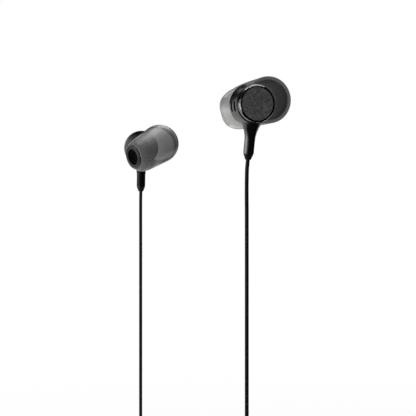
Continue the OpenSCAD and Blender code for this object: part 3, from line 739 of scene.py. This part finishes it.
# The far tip's pale thin-end outline is a painted highlight along its upper edge.
FAR_SILICONE = Silicone(
    "far_silicone", thin=(0.17, 0.17, 0.167), thick=(0.31, 0.31, 0.305),
    rim=(0.23, 0.23, 0.226), thin_outline_and_highlight=(0.42, 0.42, 0.41), thin_cover=0.6, thick_cover=0.86,
    levels=(-0.0115, 0.0), painted_shade_low_thick=0.2)
FINISHES = {finish.name: finish for finish in (
    Metal("gloss_bezel", (0.18, 0.18, 0.185), 0.07),
    Moulded("satin_shell", (0.004, 0.004, 0.0042), 0.5, grain_depth_mm=0.0004, specular=0.04),
    Moulded("relief_rubber", (0.006, 0.006, 0.0065), 0.42, grain_depth_mm=0.0005, specular=0.2),
    Moulded("cord_jacket", (0.007, 0.007, 0.0075), 0.38, grain_depth_mm=0.0005, specular=0.12),
    Moulded("plug_rubber", (0.012, 0.012, 0.0125), 0.4, grain_mm=0.2, grain_depth_mm=0.006),
    Moulded("tie", (0.02, 0.02, 0.022), 0.7, grain_mm=0.3, grain_depth_mm=0.02),
    Moulded("film", (0.5, 0.42, 0.25), 0.2),
    Moulded("board", (0.03, 0.16, 0.06), 0.3),
    Moulded("insulator", (0.008, 0.008, 0.009), 0.15),
    Moulded("screen_cloth", (0.001, 0.001, 0.001), 0.9, specular=0.02),
    # Painted shade: the nozzle's mesh is near black for the shade in its recess.
    Metal("steel_mesh", (0.005, 0.005, 0.005), 0.7),
    Metal("copper", (0.7, 0.32, 0.16), 0.25),
    Metal("driver_steel", (0.5, 0.51, 0.52), 0.32),
    Metal("magnet_nickel", (0.62, 0.61, 0.58), 0.2),
    Metal("jack_gold", (0.95, 0.7, 0.32), 0.16, scratch_mm=0.08, stretch=6.0),
    Fibre("foam", (0.05, 0.05, 0.052)),
    Fibre("felt", (0.7, 0.69, 0.65)),
)}


# Ear tips


@dataclass(frozen=True)
class Swell:
    """A soft push on a tip's walls, where it stands a little off its plain egg.

    Attributes:
        at: the middle of the push, in the earpiece's frame, in millimetres.
        push: its direction and depth, in millimetres.
        along: the direction in which it is stretched.
        reach: how far it reaches in that direction, and across it.
    """

    at: Point
    push: Point
    along: Point
    reach: Pair

    def move(self, points: Array) -> Array:
        """Return how far the push carries each point."""
        offset = points - np.array(self.at)
        run = offset @ unit(np.array(self.along))
        side2 = np.sum(offset ** 2, axis=-1) - run ** 2
        weight = np.exp(-0.5 * (run ** 2 / self.reach[0] ** 2 + side2 / self.reach[1] ** 2))
        return weight[..., None] * np.array(self.push)


# The near tip sits a little askew on its nozzle, so its upper flank and its small end stand proud.
NEAR_SWELLS = (
    Swell((0.4, 6.3, -7.9), (-0.3, 0.52, 0.0), (6.0, 3.65, 10.5), (4.2, 3.0)),
    Swell((-5.0, 0.1, -10.8), (-0.45, 0.0, 0.0), (0.0, 1.0, 0.0), (2.2, 2.2)),
)


@dataclass
class EarTip:
    """A soft tip: a skewed hollow egg, open at its rim, with a beaded mouth and a sleeve inside.

    All sizes are millimetres in the earpiece's frame.
    """

    side: Side
    finish: Silicone
    shape: Shape = SHAPE
    swells: Sequence[Swell] = ()
    samples: int = 128
    BORE_RINGS: ClassVar[int] = 4
    REACH: ClassVar[float] = 20.0
    HALVINGS: ClassVar[int] = 36
    BEADS_ACROSS: ClassVar[float] = 4.4
    RIM_ROUND: ClassVar[float] = 0.35
    OUTER_RINGS: ClassVar[int] = 56
    INNER_RINGS: ClassVar[int] = 48

    def _frame(self, normals: Array) -> tuple[Array, Array]:
        """Return two directions square to each normal, turned as little as possible."""
        up = np.array([0.0, 1.0, 0.0])
        first = unit(up - (normals @ up)[..., None] * normals)
        return first, np.cross(normals, first)

    def _wheel(self) -> tuple[Array, Array]:
        """Return the cosine and sine of the angles round a ring."""
        angle = np.linspace(0.0, 2 * np.pi, self.samples, endpoint=False)
        return np.cos(angle)[None, :, None], np.sin(angle)[None, :, None]

    def _turned(self, profile: Sequence[Pair]) -> Array:
        """Turn a profile about the nozzle's axis.

        Args:
            profile: pairs of radius and depth from the mouth's plane.

        Returns:
            The rings, one for each pair.
        """
        radius, depth = np.array(profile).T
        c, s = self._wheel()
        axis = self.shape.nozzle
        first, second = self._frame(axis[None])
        centre = self.shape.mouth + depth[:, None] * axis
        return centre[:, None] + radius[:, None, None] * (c * first[:, None] + s * second[:, None])

    def _wall(self, start_depth: float, end_z: float, small_r: float, big_r: float,
              count: int) -> Array:
        """Cut the egg's skin into rings from the mouth to the rim.

        The cutting planes turn evenly from the mouth's plane to the rim's. In each plane rays
        leave a middle line, and halving finds where they cross the skin of the two balls.

        Args:
            start_depth: depth of the first ring from the mouth's plane.
            end_z: height of the last ring.
            small_r, big_r: radii of the two balls.
            count: number of rings.

        Returns:
            The rings, from mouth to rim.
        """
        shape = self.shape
        small, big = np.array(shape.small), shape.big
        v = np.linspace(0.0, 1.0, count)[:, None]
        start = shape.mouth + start_depth * shape.nozzle
        end = np.array([big[0], big[1], end_z])
        centre = start + v * (end - start)
        normal = unit((1 - v) * shape.nozzle + v * UP)
        first, second = self._frame(normal)
        c, s = self._wheel()
        ray = c * first[:, None] + s * second[:, None]
        low = np.zeros(ray.shape[:2])
        high = np.full(ray.shape[:2], self.REACH)
        for _ in range(self.HALVINGS):
            middle = (low + high) / 2
            inside = round_cone_distance(
                centre[:, None] + middle[..., None] * ray, small, big, small_r, big_r) < 0
            low, high = np.where(inside, middle, low), np.where(inside, high, middle)
        return centre[:, None] + low[..., None] * ray

    def _mouth_profile(self) -> list[Pair]:
        """Return the mouth's face from its hole to the egg: two round beads with grooves."""
        mouth_r, lip_r, face_t = self.shape.mouth_r, self.shape.lip_r, self.shape.face_t
        bead = (lip_r - mouth_r) / self.BEADS_ACROSS
        arc = np.radians(np.linspace(180, 0, 9))
        inner, outer = ([(r + bead * np.cos(a), bead - bead * np.sin(a)) for a in arc]
                        for r in (mouth_r + bead, lip_r - bead))
        hole = [(mouth_r, face_t), (mouth_r, face_t * 0.7)]
        groove = (mouth_r + 2.2 * bead, bead * 1.25)
        return hole + inner + [groove] + outer + [(lip_r + 0.08, face_t - 0.2)]

    def _sleeve_profile(self) -> list[Pair]:
        """Return the sleeve from its root, round its end and back up its bore to the face."""
        bore_r, wall, face_t = self.shape.sleeve_r, self.shape.sleeve_wall, self.shape.face_t
        end, half = face_t + self.shape.sleeve_len, wall / 2
        arc = np.radians(np.linspace(0, 180, 7))
        tip = [(bore_r + half + half * np.cos(a), end - half + half * np.sin(a)) for a in arc]
        stem = [(bore_r + wall, depth) for depth in (face_t + 0.35, face_t + 1.2, end - 1.2)]
        bore = [(bore_r, depth) for depth in (end - 1.2, face_t + 1.2, face_t + 0.05)]
        return stem + tip + bore + [(bore_r - 0.05, face_t)]

    def _rim(self, outer: Array, inner: Array) -> Array:
        """Close the rim with a flat band between two small rounds.

        The section is a superellipse: its half width is half the wall, its height the distance
        from the walls' last rings to the rim's plane.
        """
        angle = np.radians(np.linspace(0, 180, 13))[1:-1, None, None]
        across = np.sign(np.cos(angle)) * np.abs(np.cos(angle)) ** 0.5
        rise = np.sin(angle) ** 0.5
        middle, half = (outer + inner) / 2, (outer - inner) / 2
        height = (self.shape.rim_z - middle) * UP
        return middle + across * half + rise * height

    def build(self) -> Object:
        """Make the tip and put it on its body."""
        place, shape, side = PLACES[self.side], self.shape, self.side.value
        round_z = shape.rim_z - self.RIM_ROUND
        mouth = self._turned(self._mouth_profile())
        outer = self._wall(shape.face_t - 0.3, round_z, shape.small_r, shape.big_r,
                           self.OUTER_RINGS)
        inner = self._wall(shape.face_t + 0.12, round_z, shape.small_r - shape.wall_small,
                           shape.big_r - shape.wall_big, self.INNER_RINGS)[::-1]
        parts = [mouth, outer, self._rim(outer[-1:], inner[:1]), inner,
                 self._turned(self._sleeve_profile())]
        rings = np.concatenate(parts)
        counts = [len(part) for part in parts]
        along = np.concatenate([
            np.zeros(counts[0]), np.linspace(0, 1, counts[1]), np.ones(counts[2]),
            np.linspace(1, 0, counts[3]), np.zeros(counts[4])])
        masks = {"inside": (0, 0, 0, 1, 1), "rim": (0, 0, 1, 0, 0), "mouth": (1, 0, 0, 0, 0)}
        values = {"along": along,
                  **{key: np.repeat(np.array(mask, float), counts) for key, mask in masks.items()}}
        # The bore's last rings take the mouth's dark colour: painted shade inside the bore.
        values["mouth"][-self.BORE_RINGS:] = 1.0
        first, last = counts[0], len(rings) - counts[-1]
        walls = rings[first:last].copy()
        for swell in self.swells:
            rings[first:last] += swell.move(walls)
        if place.mirrored:
            rings = rings[:, ::-1]
        piece = closed_grid(f"{side}_soft_tip", place.to_part(rings, shape.mouth), values)
        piece.data.materials.append(self.finish.material())
        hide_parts(f"{side}_ear_tip")
        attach(piece, f"{side}_tip")
        return piece


# Earpieces


SLOTS_BY_PIECE = {
    "bezel_ring": "gloss_bezel", "front_shell": "satin_shell",
    "nozzle_mesh": "steel_mesh", "strain_relief": "relief_rubber", "cord_end": "cord_jacket",
    "signal_wires": "copper", "driver_gasket": "foam", "driver_basket": "driver_steel",
    "diaphragm": "film", "voice_coil": "copper", "pole_plate": "driver_steel",
    "magnet": "magnet_nickel", "yoke": "driver_steel", "terminal_board": "board",
    "vent_felt": "felt", "vent_screen": "screen_cloth",
}


@dataclass
class Earpiece:
    """One earpiece: its shells, face, driver and soft tip."""

    side: Side
    silicone: Silicone
    materials: Mapping[str, Material]
    swells: Sequence[Swell] = ()

    def dress(self) -> None:
        """Give each rigid piece its finish."""
        side, place = self.side.value, PLACES[self.side]
        for piece, slot in SLOTS_BY_PIECE.items():
            dress_node(f"{side}_{piece}", self.materials[slot])
        gloss = SlottedGloss(f"{side}_gloss_shell", place)
        if self.side is Side.FAR:
            # The far front shell gets a painted sheen that the near one lacks.
            dress_node("far_front_shell", PlateSatin("far_satin_shell", place).material())
            # Painted shade: the far shell's gloss is a weaker, duller copy of the near one's.
            gloss = replace(gloss, roughness=0.3, specular=0.1)
        dress_node(f"{side}_face_disc", SpunDisc(f"{side}_spun_disc", place).material())
        dress_node(f"{side}_rear_shell", gloss.material())

    def build(self) -> None:
        """Dress the rigid pieces and make the soft tip."""
        self.dress()
        tip = EarTip(self.side, self.silicone, swells=self.swells).build()
        LOG.info("%s earpiece dressed, soft tip has %d faces",
                 self.side.value, len(tip.data.polygons))


def dress_node(node: str, material: Material) -> None:
    """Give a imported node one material."""
    piece = frame["nodes"][node]
    if not piece.material_slots:
        piece.data.materials.append(material)
    for slot in piece.material_slots:
        slot.material = material


# Cords


@dataclass(frozen=True)
class Coil:
    """A tied coil: it spirals in and out again, and climbs a layer where the spiral reverses.

    All sizes are millimetres.
    """

    centre: Pair
    middle_r: float
    pitch: float
    z: float
    turns: float
    layers: int
    start: float
    way: int
    samples_a_turn: int = 48
    BELOW_ONE: ClassVar[float] = 0.99999

    @property
    def outer_r(self) -> float:
        """Return the radius of the outermost turn."""
        return self.middle_r + self.pitch * self.turns / self.layers / 2

    def path(self) -> Array:
        """Return the centreline.

        The radius is a zigzag of the turns made, one leg a layer. The height is a stair that
        rises one pitch over the half turn about each reversal.
        """
        leg = self.turns / self.layers
        t = np.linspace(0.0, self.turns, int(np.ceil(self.turns * self.samples_a_turn)) + 1)
        u = t / leg * self.BELOW_ONE
        part = u - np.floor(u)
        zigzag = np.where(np.floor(u) % 2 == 0, part, 1 - part)
        radius = self.outer_r - self.pitch * leg * zigzag
        step = np.floor(t / leg + 0.5)
        climb = np.clip((t - step * leg) / 0.5 + 0.5, 0.0, 1.0)
        level = np.minimum(np.where(step == 0, 0.0, step - 1 + climb), self.layers - 1)
        angle = np.radians(self.start) + self.way * 2 * np.pi * t
        x, y = self.centre
        return np.stack([x + radius * np.cos(angle), y + radius * np.sin(angle),
                         self.z + self.pitch * level], axis=1)


@dataclass(frozen=True)
class Layout:
    """Where the cords run and lie, in millimetres."""

    branch_d: float = 1.2
    main_d: float = 2.0
    floor_z: float = -117.0
    land_r: float = 9.0
    tie_t: float = 0.45
    turn_gap: float = 0.5
    split_x: float = -3.5
    split_y: float = 27.0
    split_len: float = 11.0
    split_r: float = 1.6
    split_gap: float = 1.9
    grip_r: float = 2.9
    plug_y: float = 32.0

    @property
    def coil_z(self) -> float:
        """Return the height of the coils' undersides, on their ties."""
        return self.floor_z + self.tie_t + 0.05

    @property
    def lay_z(self) -> float:
        """Return the height of a branch cord that lies on the surface."""
        return self.floor_z + self.branch_d / 2

    @property
    def split_z(self) -> float:
        """Return the height of the splitter's middle."""
        return self.floor_z + self.split_r

    @property
    def grip_z(self) -> float:
        """Return the height of the plug's axis."""
        return self.floor_z + self.grip_r

    def branch_coil(self, x: float, y: float, middle: float, turns: float, way: int) -> Coil:
        """Return a branch's coil beside the line on which its cord comes down.

        Args:
            x: the line's place.
            y: the coil's middle, from front to back.
            middle: the coil's middle radius.
            turns: its number of turns.
            way: 1 where the line is on its right, -1 where it is on its left.

        Returns:
            The coil.
        """
        pitch = self.branch_d + self.turn_gap
        outer = middle + pitch * turns / 4
        return Coil((x - way * outer, y), middle, pitch, self.coil_z + self.branch_d / 2, turns, 2,
                    0.0 if way > 0 else 180.0, 1)

    def main_coil(self) -> Coil:
        """Return the main cord's coil."""
        pitch, turns, middle = self.main_d + self.turn_gap, 11.5, 11.5
        outer = middle + pitch * turns / 8
        return Coil((self.split_x + outer, 50.0), middle, pitch, self.coil_z + self.main_d / 2,
                    turns, 4, 180.0, -1)


SLOTS_BY_NODE = {
    "plug_relief": "plug_rubber", "plug_grip": "plug_rubber", "plug_sleeve": "jack_gold",
    "plug_ring": "jack_gold", "plug_tip": "jack_gold", "plug_insulators": "insulator",
    "splitter": "plug_rubber", "branch_ties": "tie", "main_tie": "tie",
}


@dataclass
class Cords:
    """The branch cords, the main cord and the plug."""

    materials: Mapping[str, Material]
    layout: Layout = Layout()

    def _drop(self, side: Side, way: int) -> tuple[list[Array], Array]:
        """Return a cord's first stretch: out, plumb down and a round turn onto the surface.

        Args:
            side: the earpiece it leaves.
            way: 1 to turn away from the viewer, -1 to turn back.

        Returns:
            The points, and the place of the plumb line.
        """
        lay = self.layout
        start, aim = SHAPE.cord_exit(PLACES[side])
        line = start + 3.5 * aim
        low = lay.lay_z + lay.land_r
        heights = np.linspace(line[2] - 2.4, low, 9)
        turn = np.radians(np.arange(15, 91, 15))
        leave = [start + reach * aim for reach in (0.0, 0.3, 1.2, 2.4)]
        plumb = [np.array([line[0], line[1], z]) for z in heights]
        land = [np.array([line[0], line[1] + way * lay.land_r * (1 - np.cos(a)),
                          low - lay.land_r * np.sin(a)]) for a in turn]
        return leave + plumb + land, line

    def near_route(self) -> Array:
        """Return the near branch's points: down, round its coil and to the splitter."""
        lay = self.layout
        drop, line = self._drop(Side.NEAR, 1)
        x, z, d, split, split_z = line[0], lay.lay_z, lay.branch_d, lay.split_y, lay.split_z
        coil = lay.branch_coil(x, 9.0, 6.2, 4.0, 1)
        mid, top, end_x = coil.centre[1], coil.z + coil.pitch, lay.split_x + lay.split_gap / 2
        run = [(x, mid - 7, z), (x, mid - 4, coil.z - 0.2), (x, mid - d - 0.3, coil.z),
               (x, mid - d, coil.z)]
        lead = [(x, mid + d, top), (x, mid + d + 0.3, top), (x, mid + 4, top - 0.1),
                (x - 0.6, mid + 7, top - 0.5), (x - 2.4, split - 8, split_z + 0.3),
                (x - 5.2, split - 5.4, split_z), (x - 7.6, split - 3, split_z),
                (end_x, split - 1.2, split_z), (end_x, split, split_z)]
        return self._join(drop + run, coil, lead)

    def far_route(self) -> Array:
        """Return the far branch's points."""
        lay = self.layout
        drop, line = self._drop(Side.FAR, -1)
        x, z, d, split, split_z = line[0], lay.lay_z, lay.branch_d, lay.split_y, lay.split_z
        coil = lay.branch_coil(x, 16.0, 6.8, 3.5, -1)
        mid, top, end_x = coil.centre[1], coil.z + coil.pitch, coil.centre[0] + coil.outer_r
        hole_x = lay.split_x - lay.split_gap / 2
        run = [(x, line[1] - lay.land_r - 7 * i, z) for i in (1, 2, 3)]
        run += [(x, mid + 6, z), (x, mid + 3, coil.z - 0.2), (x, mid + d + 0.3, coil.z),
                (x, mid + d, coil.z)]
        lead = [(end_x, mid + d, top), (end_x, mid + d + 0.3, top),
                (end_x + 0.3, split - 7.6, top - 0.2), (end_x + 1.6, split - 5.4, split_z + 0.3),
                (end_x + 4.2, split - 3.4, split_z), (hole_x - 0.6, split - 2, split_z),
                (hole_x, split - 1, split_z), (hole_x, split, split_z)]
        return self._join(drop + run, coil, lead)

    def main_route(self) -> Array:
        """Return the main cord's points, from the splitter through its coil to the plug."""
        lay, coil = self.layout, self.layout.main_coil()
        x, d, split_z, grip_z, plug_y = (
            lay.split_x, lay.main_d, lay.split_z, lay.grip_z, lay.plug_y)
        mid, z = coil.centre[1], coil.z
        top, end = z + coil.pitch * (coil.layers - 1), lay.split_y + lay.split_len
        plug_x = coil.centre[0] + coil.outer_r - 1
        lead = [(x, end, split_z), (x, end + 0.3, split_z), (x, end + 2, split_z - 0.1),
                (x, mid - 7, z), (x, mid - 4, z), (x, mid - d, z)]
        tail = [(plug_x + 1, mid - d, top), (plug_x + 1, mid - d - 0.3, top),
                (plug_x + 1, mid - 4, top - 0.4), (plug_x + 0.9, mid - 6.4, top - 1.8),
                (plug_x + 0.5, mid - 8.6, top - 3.6), (plug_x + 0.1, plug_y + 7, grip_z + 1.2),
                (plug_x, plug_y + 4.4, grip_z + 0.2), (plug_x, plug_y + 2, grip_z),
                (plug_x, plug_y, grip_z)]
        return self._join(lead, coil, tail)

    @staticmethod
    def _join(first: Sequence[Any], coil: Coil, last: Sequence[Any]) -> Array:
        """Join a free stretch, a coil and a free stretch into one smooth centreline."""
        start = np.array([tuple(p) for p in first], float)
        end = np.array([tuple(p) for p in last], float)
        return smooth_route(np.concatenate([start, coil.path(), end]), ROUTE_SPACING)

    def _cord(self, name: str, route: Array, diameter: float,
              nodes: Sequence[str]) -> Object:
        """Make one cord as a round curve along its centreline.

        Args:
            name: the piece's name.
            route: the centreline in millimetres.
            diameter: the cord's diameter in millimetres.
            nodes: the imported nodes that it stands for.

        Returns:
            The curve object.
        """
        curve = bpy.data.curves.new(name, "CURVE")
        curve.dimensions = "3D"
        curve.bevel_depth = diameter / 2 * MM
        curve.bevel_resolution = 3
        curve.use_fill_caps = True
        spline = curve.splines.new("POLY")
        spline.points.add(len(route) - 1)
        spline.points.foreach_set(
            "co", np.column_stack([route * MM, np.ones(len(route))]).ravel())
        piece = new_object(name, curve)
        curve.materials.append(self.materials["cord_jacket"])
        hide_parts(*nodes)
        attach(piece, "earphones")
        return piece

    def build(self) -> None:
        """Make the three cords, and dress the splitter, the ties and the plug."""
        lay, nodes = self.layout, frame["nodes"]
        near, far, main = self.near_route(), self.far_route(), self.main_route()
        near_cord = self._cord("near_branch", near, lay.branch_d,
                               ["near_cord_drop", "near_cord_coil", "near_cord_lead"])
        far_cord = self._cord("far_branch", far, lay.branch_d,
                              ["far_cord_drop", "far_cord_coil", "far_cord_lead"])
        main_cord = self._cord("main_cord", main, lay.main_d,
                               ["main_cord_lead", "main_cord_coil", "main_cord_tail"])
        for node, slot in SLOTS_BY_NODE.items():
            dress_node(node, self.materials[slot])


# Studio


@dataclass(frozen=True)
class Softbox:
    """A rectangular lamp that faces a point.

    Attributes:
        name: the lamp's name.
        at: its place, in metres.
        size: its width and height, in metres.
        radiance: how bright its face looks, 1 being white.
    """

    name: str
    at: Point
    size: Pair
    radiance: float

    def build(self, target: Array) -> None:
        """Make the lamp. Its power is its radiance times its area times pi."""
        lamp = bpy.data.lights.new(self.name, "AREA")
        lamp.shape = "RECTANGLE"
        lamp.size, lamp.size_y = self.size
        lamp.energy = self.radiance * self.size[0] * self.size[1] * np.pi
        holder = new_object(self.name, lamp)
        holder.matrix_world = facing(np.array(self.at), target)
        holder.visible_camera = False


@dataclass(frozen=True)
class Card:
    """A dark card that keeps glossy surfaces dark on one side, seen by reflections alone.

    Attributes:
        name: the card's name.
        at: its middle, in metres.
        size: its width and height, in metres.
        look: the point it faces.
        spin: turn about its own middle, in degrees.
        radiance: how bright it looks, 1 being white.
    """

    name: str
    at: Point
    size: Pair
    look: Point = (-0.01, 0.02, -0.02)
    spin: float = 0.0
    radiance: float = 0.0

    def build(self) -> None:
        """Make the card, facing the point it looks at."""
        kit = Kit(self.name)
        material = kit.finish(kit.node("Emission", None, {"Strength": self.radiance}))
        card = level_sheet(self.name, self.size, 0.0, material)
        spin = Matrix.Rotation(np.radians(self.spin), 4, "Z")
        card.matrix_world = facing(np.array(self.at), np.array(self.look)) @ spin
        for ray in ("camera", "diffuse", "transmission", "volume_scatter", "shadow"):
            setattr(card, f"visible_{ray}", False)


def level_sheet(name: str, size: Pair, z: float,
                material: Material) -> Object:
    """Make a rectangle at one height, with its middle on the Z axis."""
    w, h = (s / 2 for s in size)
    mesh = bpy.data.meshes.new(name)
    mesh.from_pydata([(-w, -h, z), (w, -h, z), (w, h, z), (-w, h, z)], [], [(0, 1, 2, 3)])
    mesh.materials.append(material)
    return new_object(name, mesh)


def facing(at: Array, target: Array) -> Matrix:
    """Return the matrix of a thing at one point whose -Z looks at another."""
    back = unit(at - target)
    level = abs(back[2]) < 0.99
    right = unit(np.cross(UP, back)) if level else np.array([1.0, 0.0, 0.0])
    up = np.cross(back, right)
    matrix = np.eye(4)
    matrix[:3, 0], matrix[:3, 1], matrix[:3, 2], matrix[:3, 3] = right, up, back, at
    return Matrix(matrix.tolist())


@dataclass
class Studio:
    """The camera, the pale surface, the lamps and the dark cards.

    Lengths are metres, in the part's frame.
    """

    eye: Point = (-0.005231, -0.318996, -0.029295)
    focal_mm: float = 90.87
    target: Point = (-0.01, 0.02, -0.02)
    floor_z: float = -0.117
    floor_size: float = 6.0
    floor_grey: float = 0.9
    floor_white: float = 0.86
    floor_fade: Pair = (0.1, 0.3)
    ambient: float = 0.45
    softboxes: tuple[Softbox, ...] = (
        Softbox("left_box", (-0.276, -0.05, -0.05), (0.26, 0.13), 4.0),
        Softbox("top_box", (-0.14, 0.03, 0.5), (0.2, 0.26), 5.5),
        Softbox("far_top_box", (-0.02, 0.28, 0.47), (0.34, 0.14), 2.5),
        Softbox("rear_top_box", (0.06, 0.4, 0.36), (0.24, 0.2), 3.2),
    )
    cards: tuple[Card, ...] = (
        Card("front_card", (0.08, -0.5, 0.05), (1.3, 1.1)),
        Card("right_card", (0.5, 0.05, 0.1), (1.4, 0.9)),
        Card("right_back_card", (0.25, 0.55, 0.25), (1.0, 0.6), (0.25, 0.0, 0.25)),
        Card("left_back_card", (-0.3, 0.6, 0.25), (0.65, 0.34)),
        Card("left_top_card", (-0.4, -0.03, 0.42), (0.7, 0.6), radiance=0.07),
        Card("front_floor_card", (0.3, -0.375, -0.1167), (0.9, 0.75), (0.3, -0.375, -1.0)),
        Card("right_floor_card", (0.404, 0.0856, -0.1166), (0.8, 0.4), (0.404, 0.0856, -1.0), 42.0),
        Card("stem_floor_card", (0.066, 0.254, -0.1165), (0.08, 0.32), (0.066, 0.254, -1.0), -12.5),
    )

    def camera(self) -> None:
        """Make the level camera that looks along +Y."""
        lens = bpy.data.cameras.new("camera")
        lens.lens = self.focal_mm
        lens.sensor_width = SENSOR_MM
        lens.clip_start = 0.01
        holder = new_object("camera", lens)
        holder.location = self.eye
        holder.rotation_euler = (np.pi / 2, 0.0, 0.0)
        bpy.context.scene.camera = holder

    @staticmethod
    def _is_seen(kit: Kit) -> Link:
        """Return 1 for rays that look straight, by mirror or through glass at the background."""
        ray = [kit.node("LightPath", None, None, f"Is {kind} Ray")
               for kind in ("Camera", "Glossy", "Transmission")]
        return (ray[0] + ray[1] + ray[2]).rise(0.0, 1.0)

    def floor(self) -> None:
        """Make the pale surface, which looks white and keeps a soft shadow."""
        kit = Kit("floor")
        grey = self.floor_grey
        lit = kit.node("BsdfDiffuse", None, {"Color": (grey, grey, grey, 1.0)})
        white = kit.node("Emission", None, {"Color": WHITE, "Strength": 1.0})
        away = kit.node("VectorMath", {"operation": "LENGTH"},
                        {0: kit.place()}, "Value").rise(*self.floor_fade)
        white_share = (1.0 - self.floor_white) * away + self.floor_white
        shader = kit.node("MixShader", None,
                          {0: self._is_seen(kit) * white_share, 1: lit, 2: white})
        size = (self.floor_size, self.floor_size)
        surface = level_sheet("floor", size, self.floor_z, kit.finish(shader))

    def world(self) -> None:
        """Make the soft surround: white where it is seen, dimmer where it lights."""
        world = bpy.data.worlds.new("surround")
        bpy.context.scene.world = world
        kit = Kit("surround", world)
        strength = self._is_seen(kit) * (1.0 - self.ambient) + self.ambient
        glow = kit.node("Background", None, {"Color": WHITE, "Strength": strength})
        kit.finish(glow, "World")

    def build(self) -> None:
        """Make the surroundings."""
        bpy.context.scene.view_settings.view_transform = "Standard"
        self.world()
        self.floor()
        target = np.array(self.target)
        for softbox in self.softboxes:
            softbox.build(target)
        for card in self.cards:
            card.build()


def main() -> None:
    """Build the camera and cords first, then the earpieces and the studio."""
    logging.basicConfig(level=logging.INFO)
    studio = Studio()
    studio.camera()
    materials = {slot: finish.material() for slot, finish in FINISHES.items()}
    Cords(materials).build()
    Earpiece(Side.NEAR, NEAR_SILICONE, materials, NEAR_SWELLS).build()
    Earpiece(Side.FAR, FAR_SILICONE, materials).build()
    studio.build()
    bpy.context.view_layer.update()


if __name__ == "__main__":
    main()
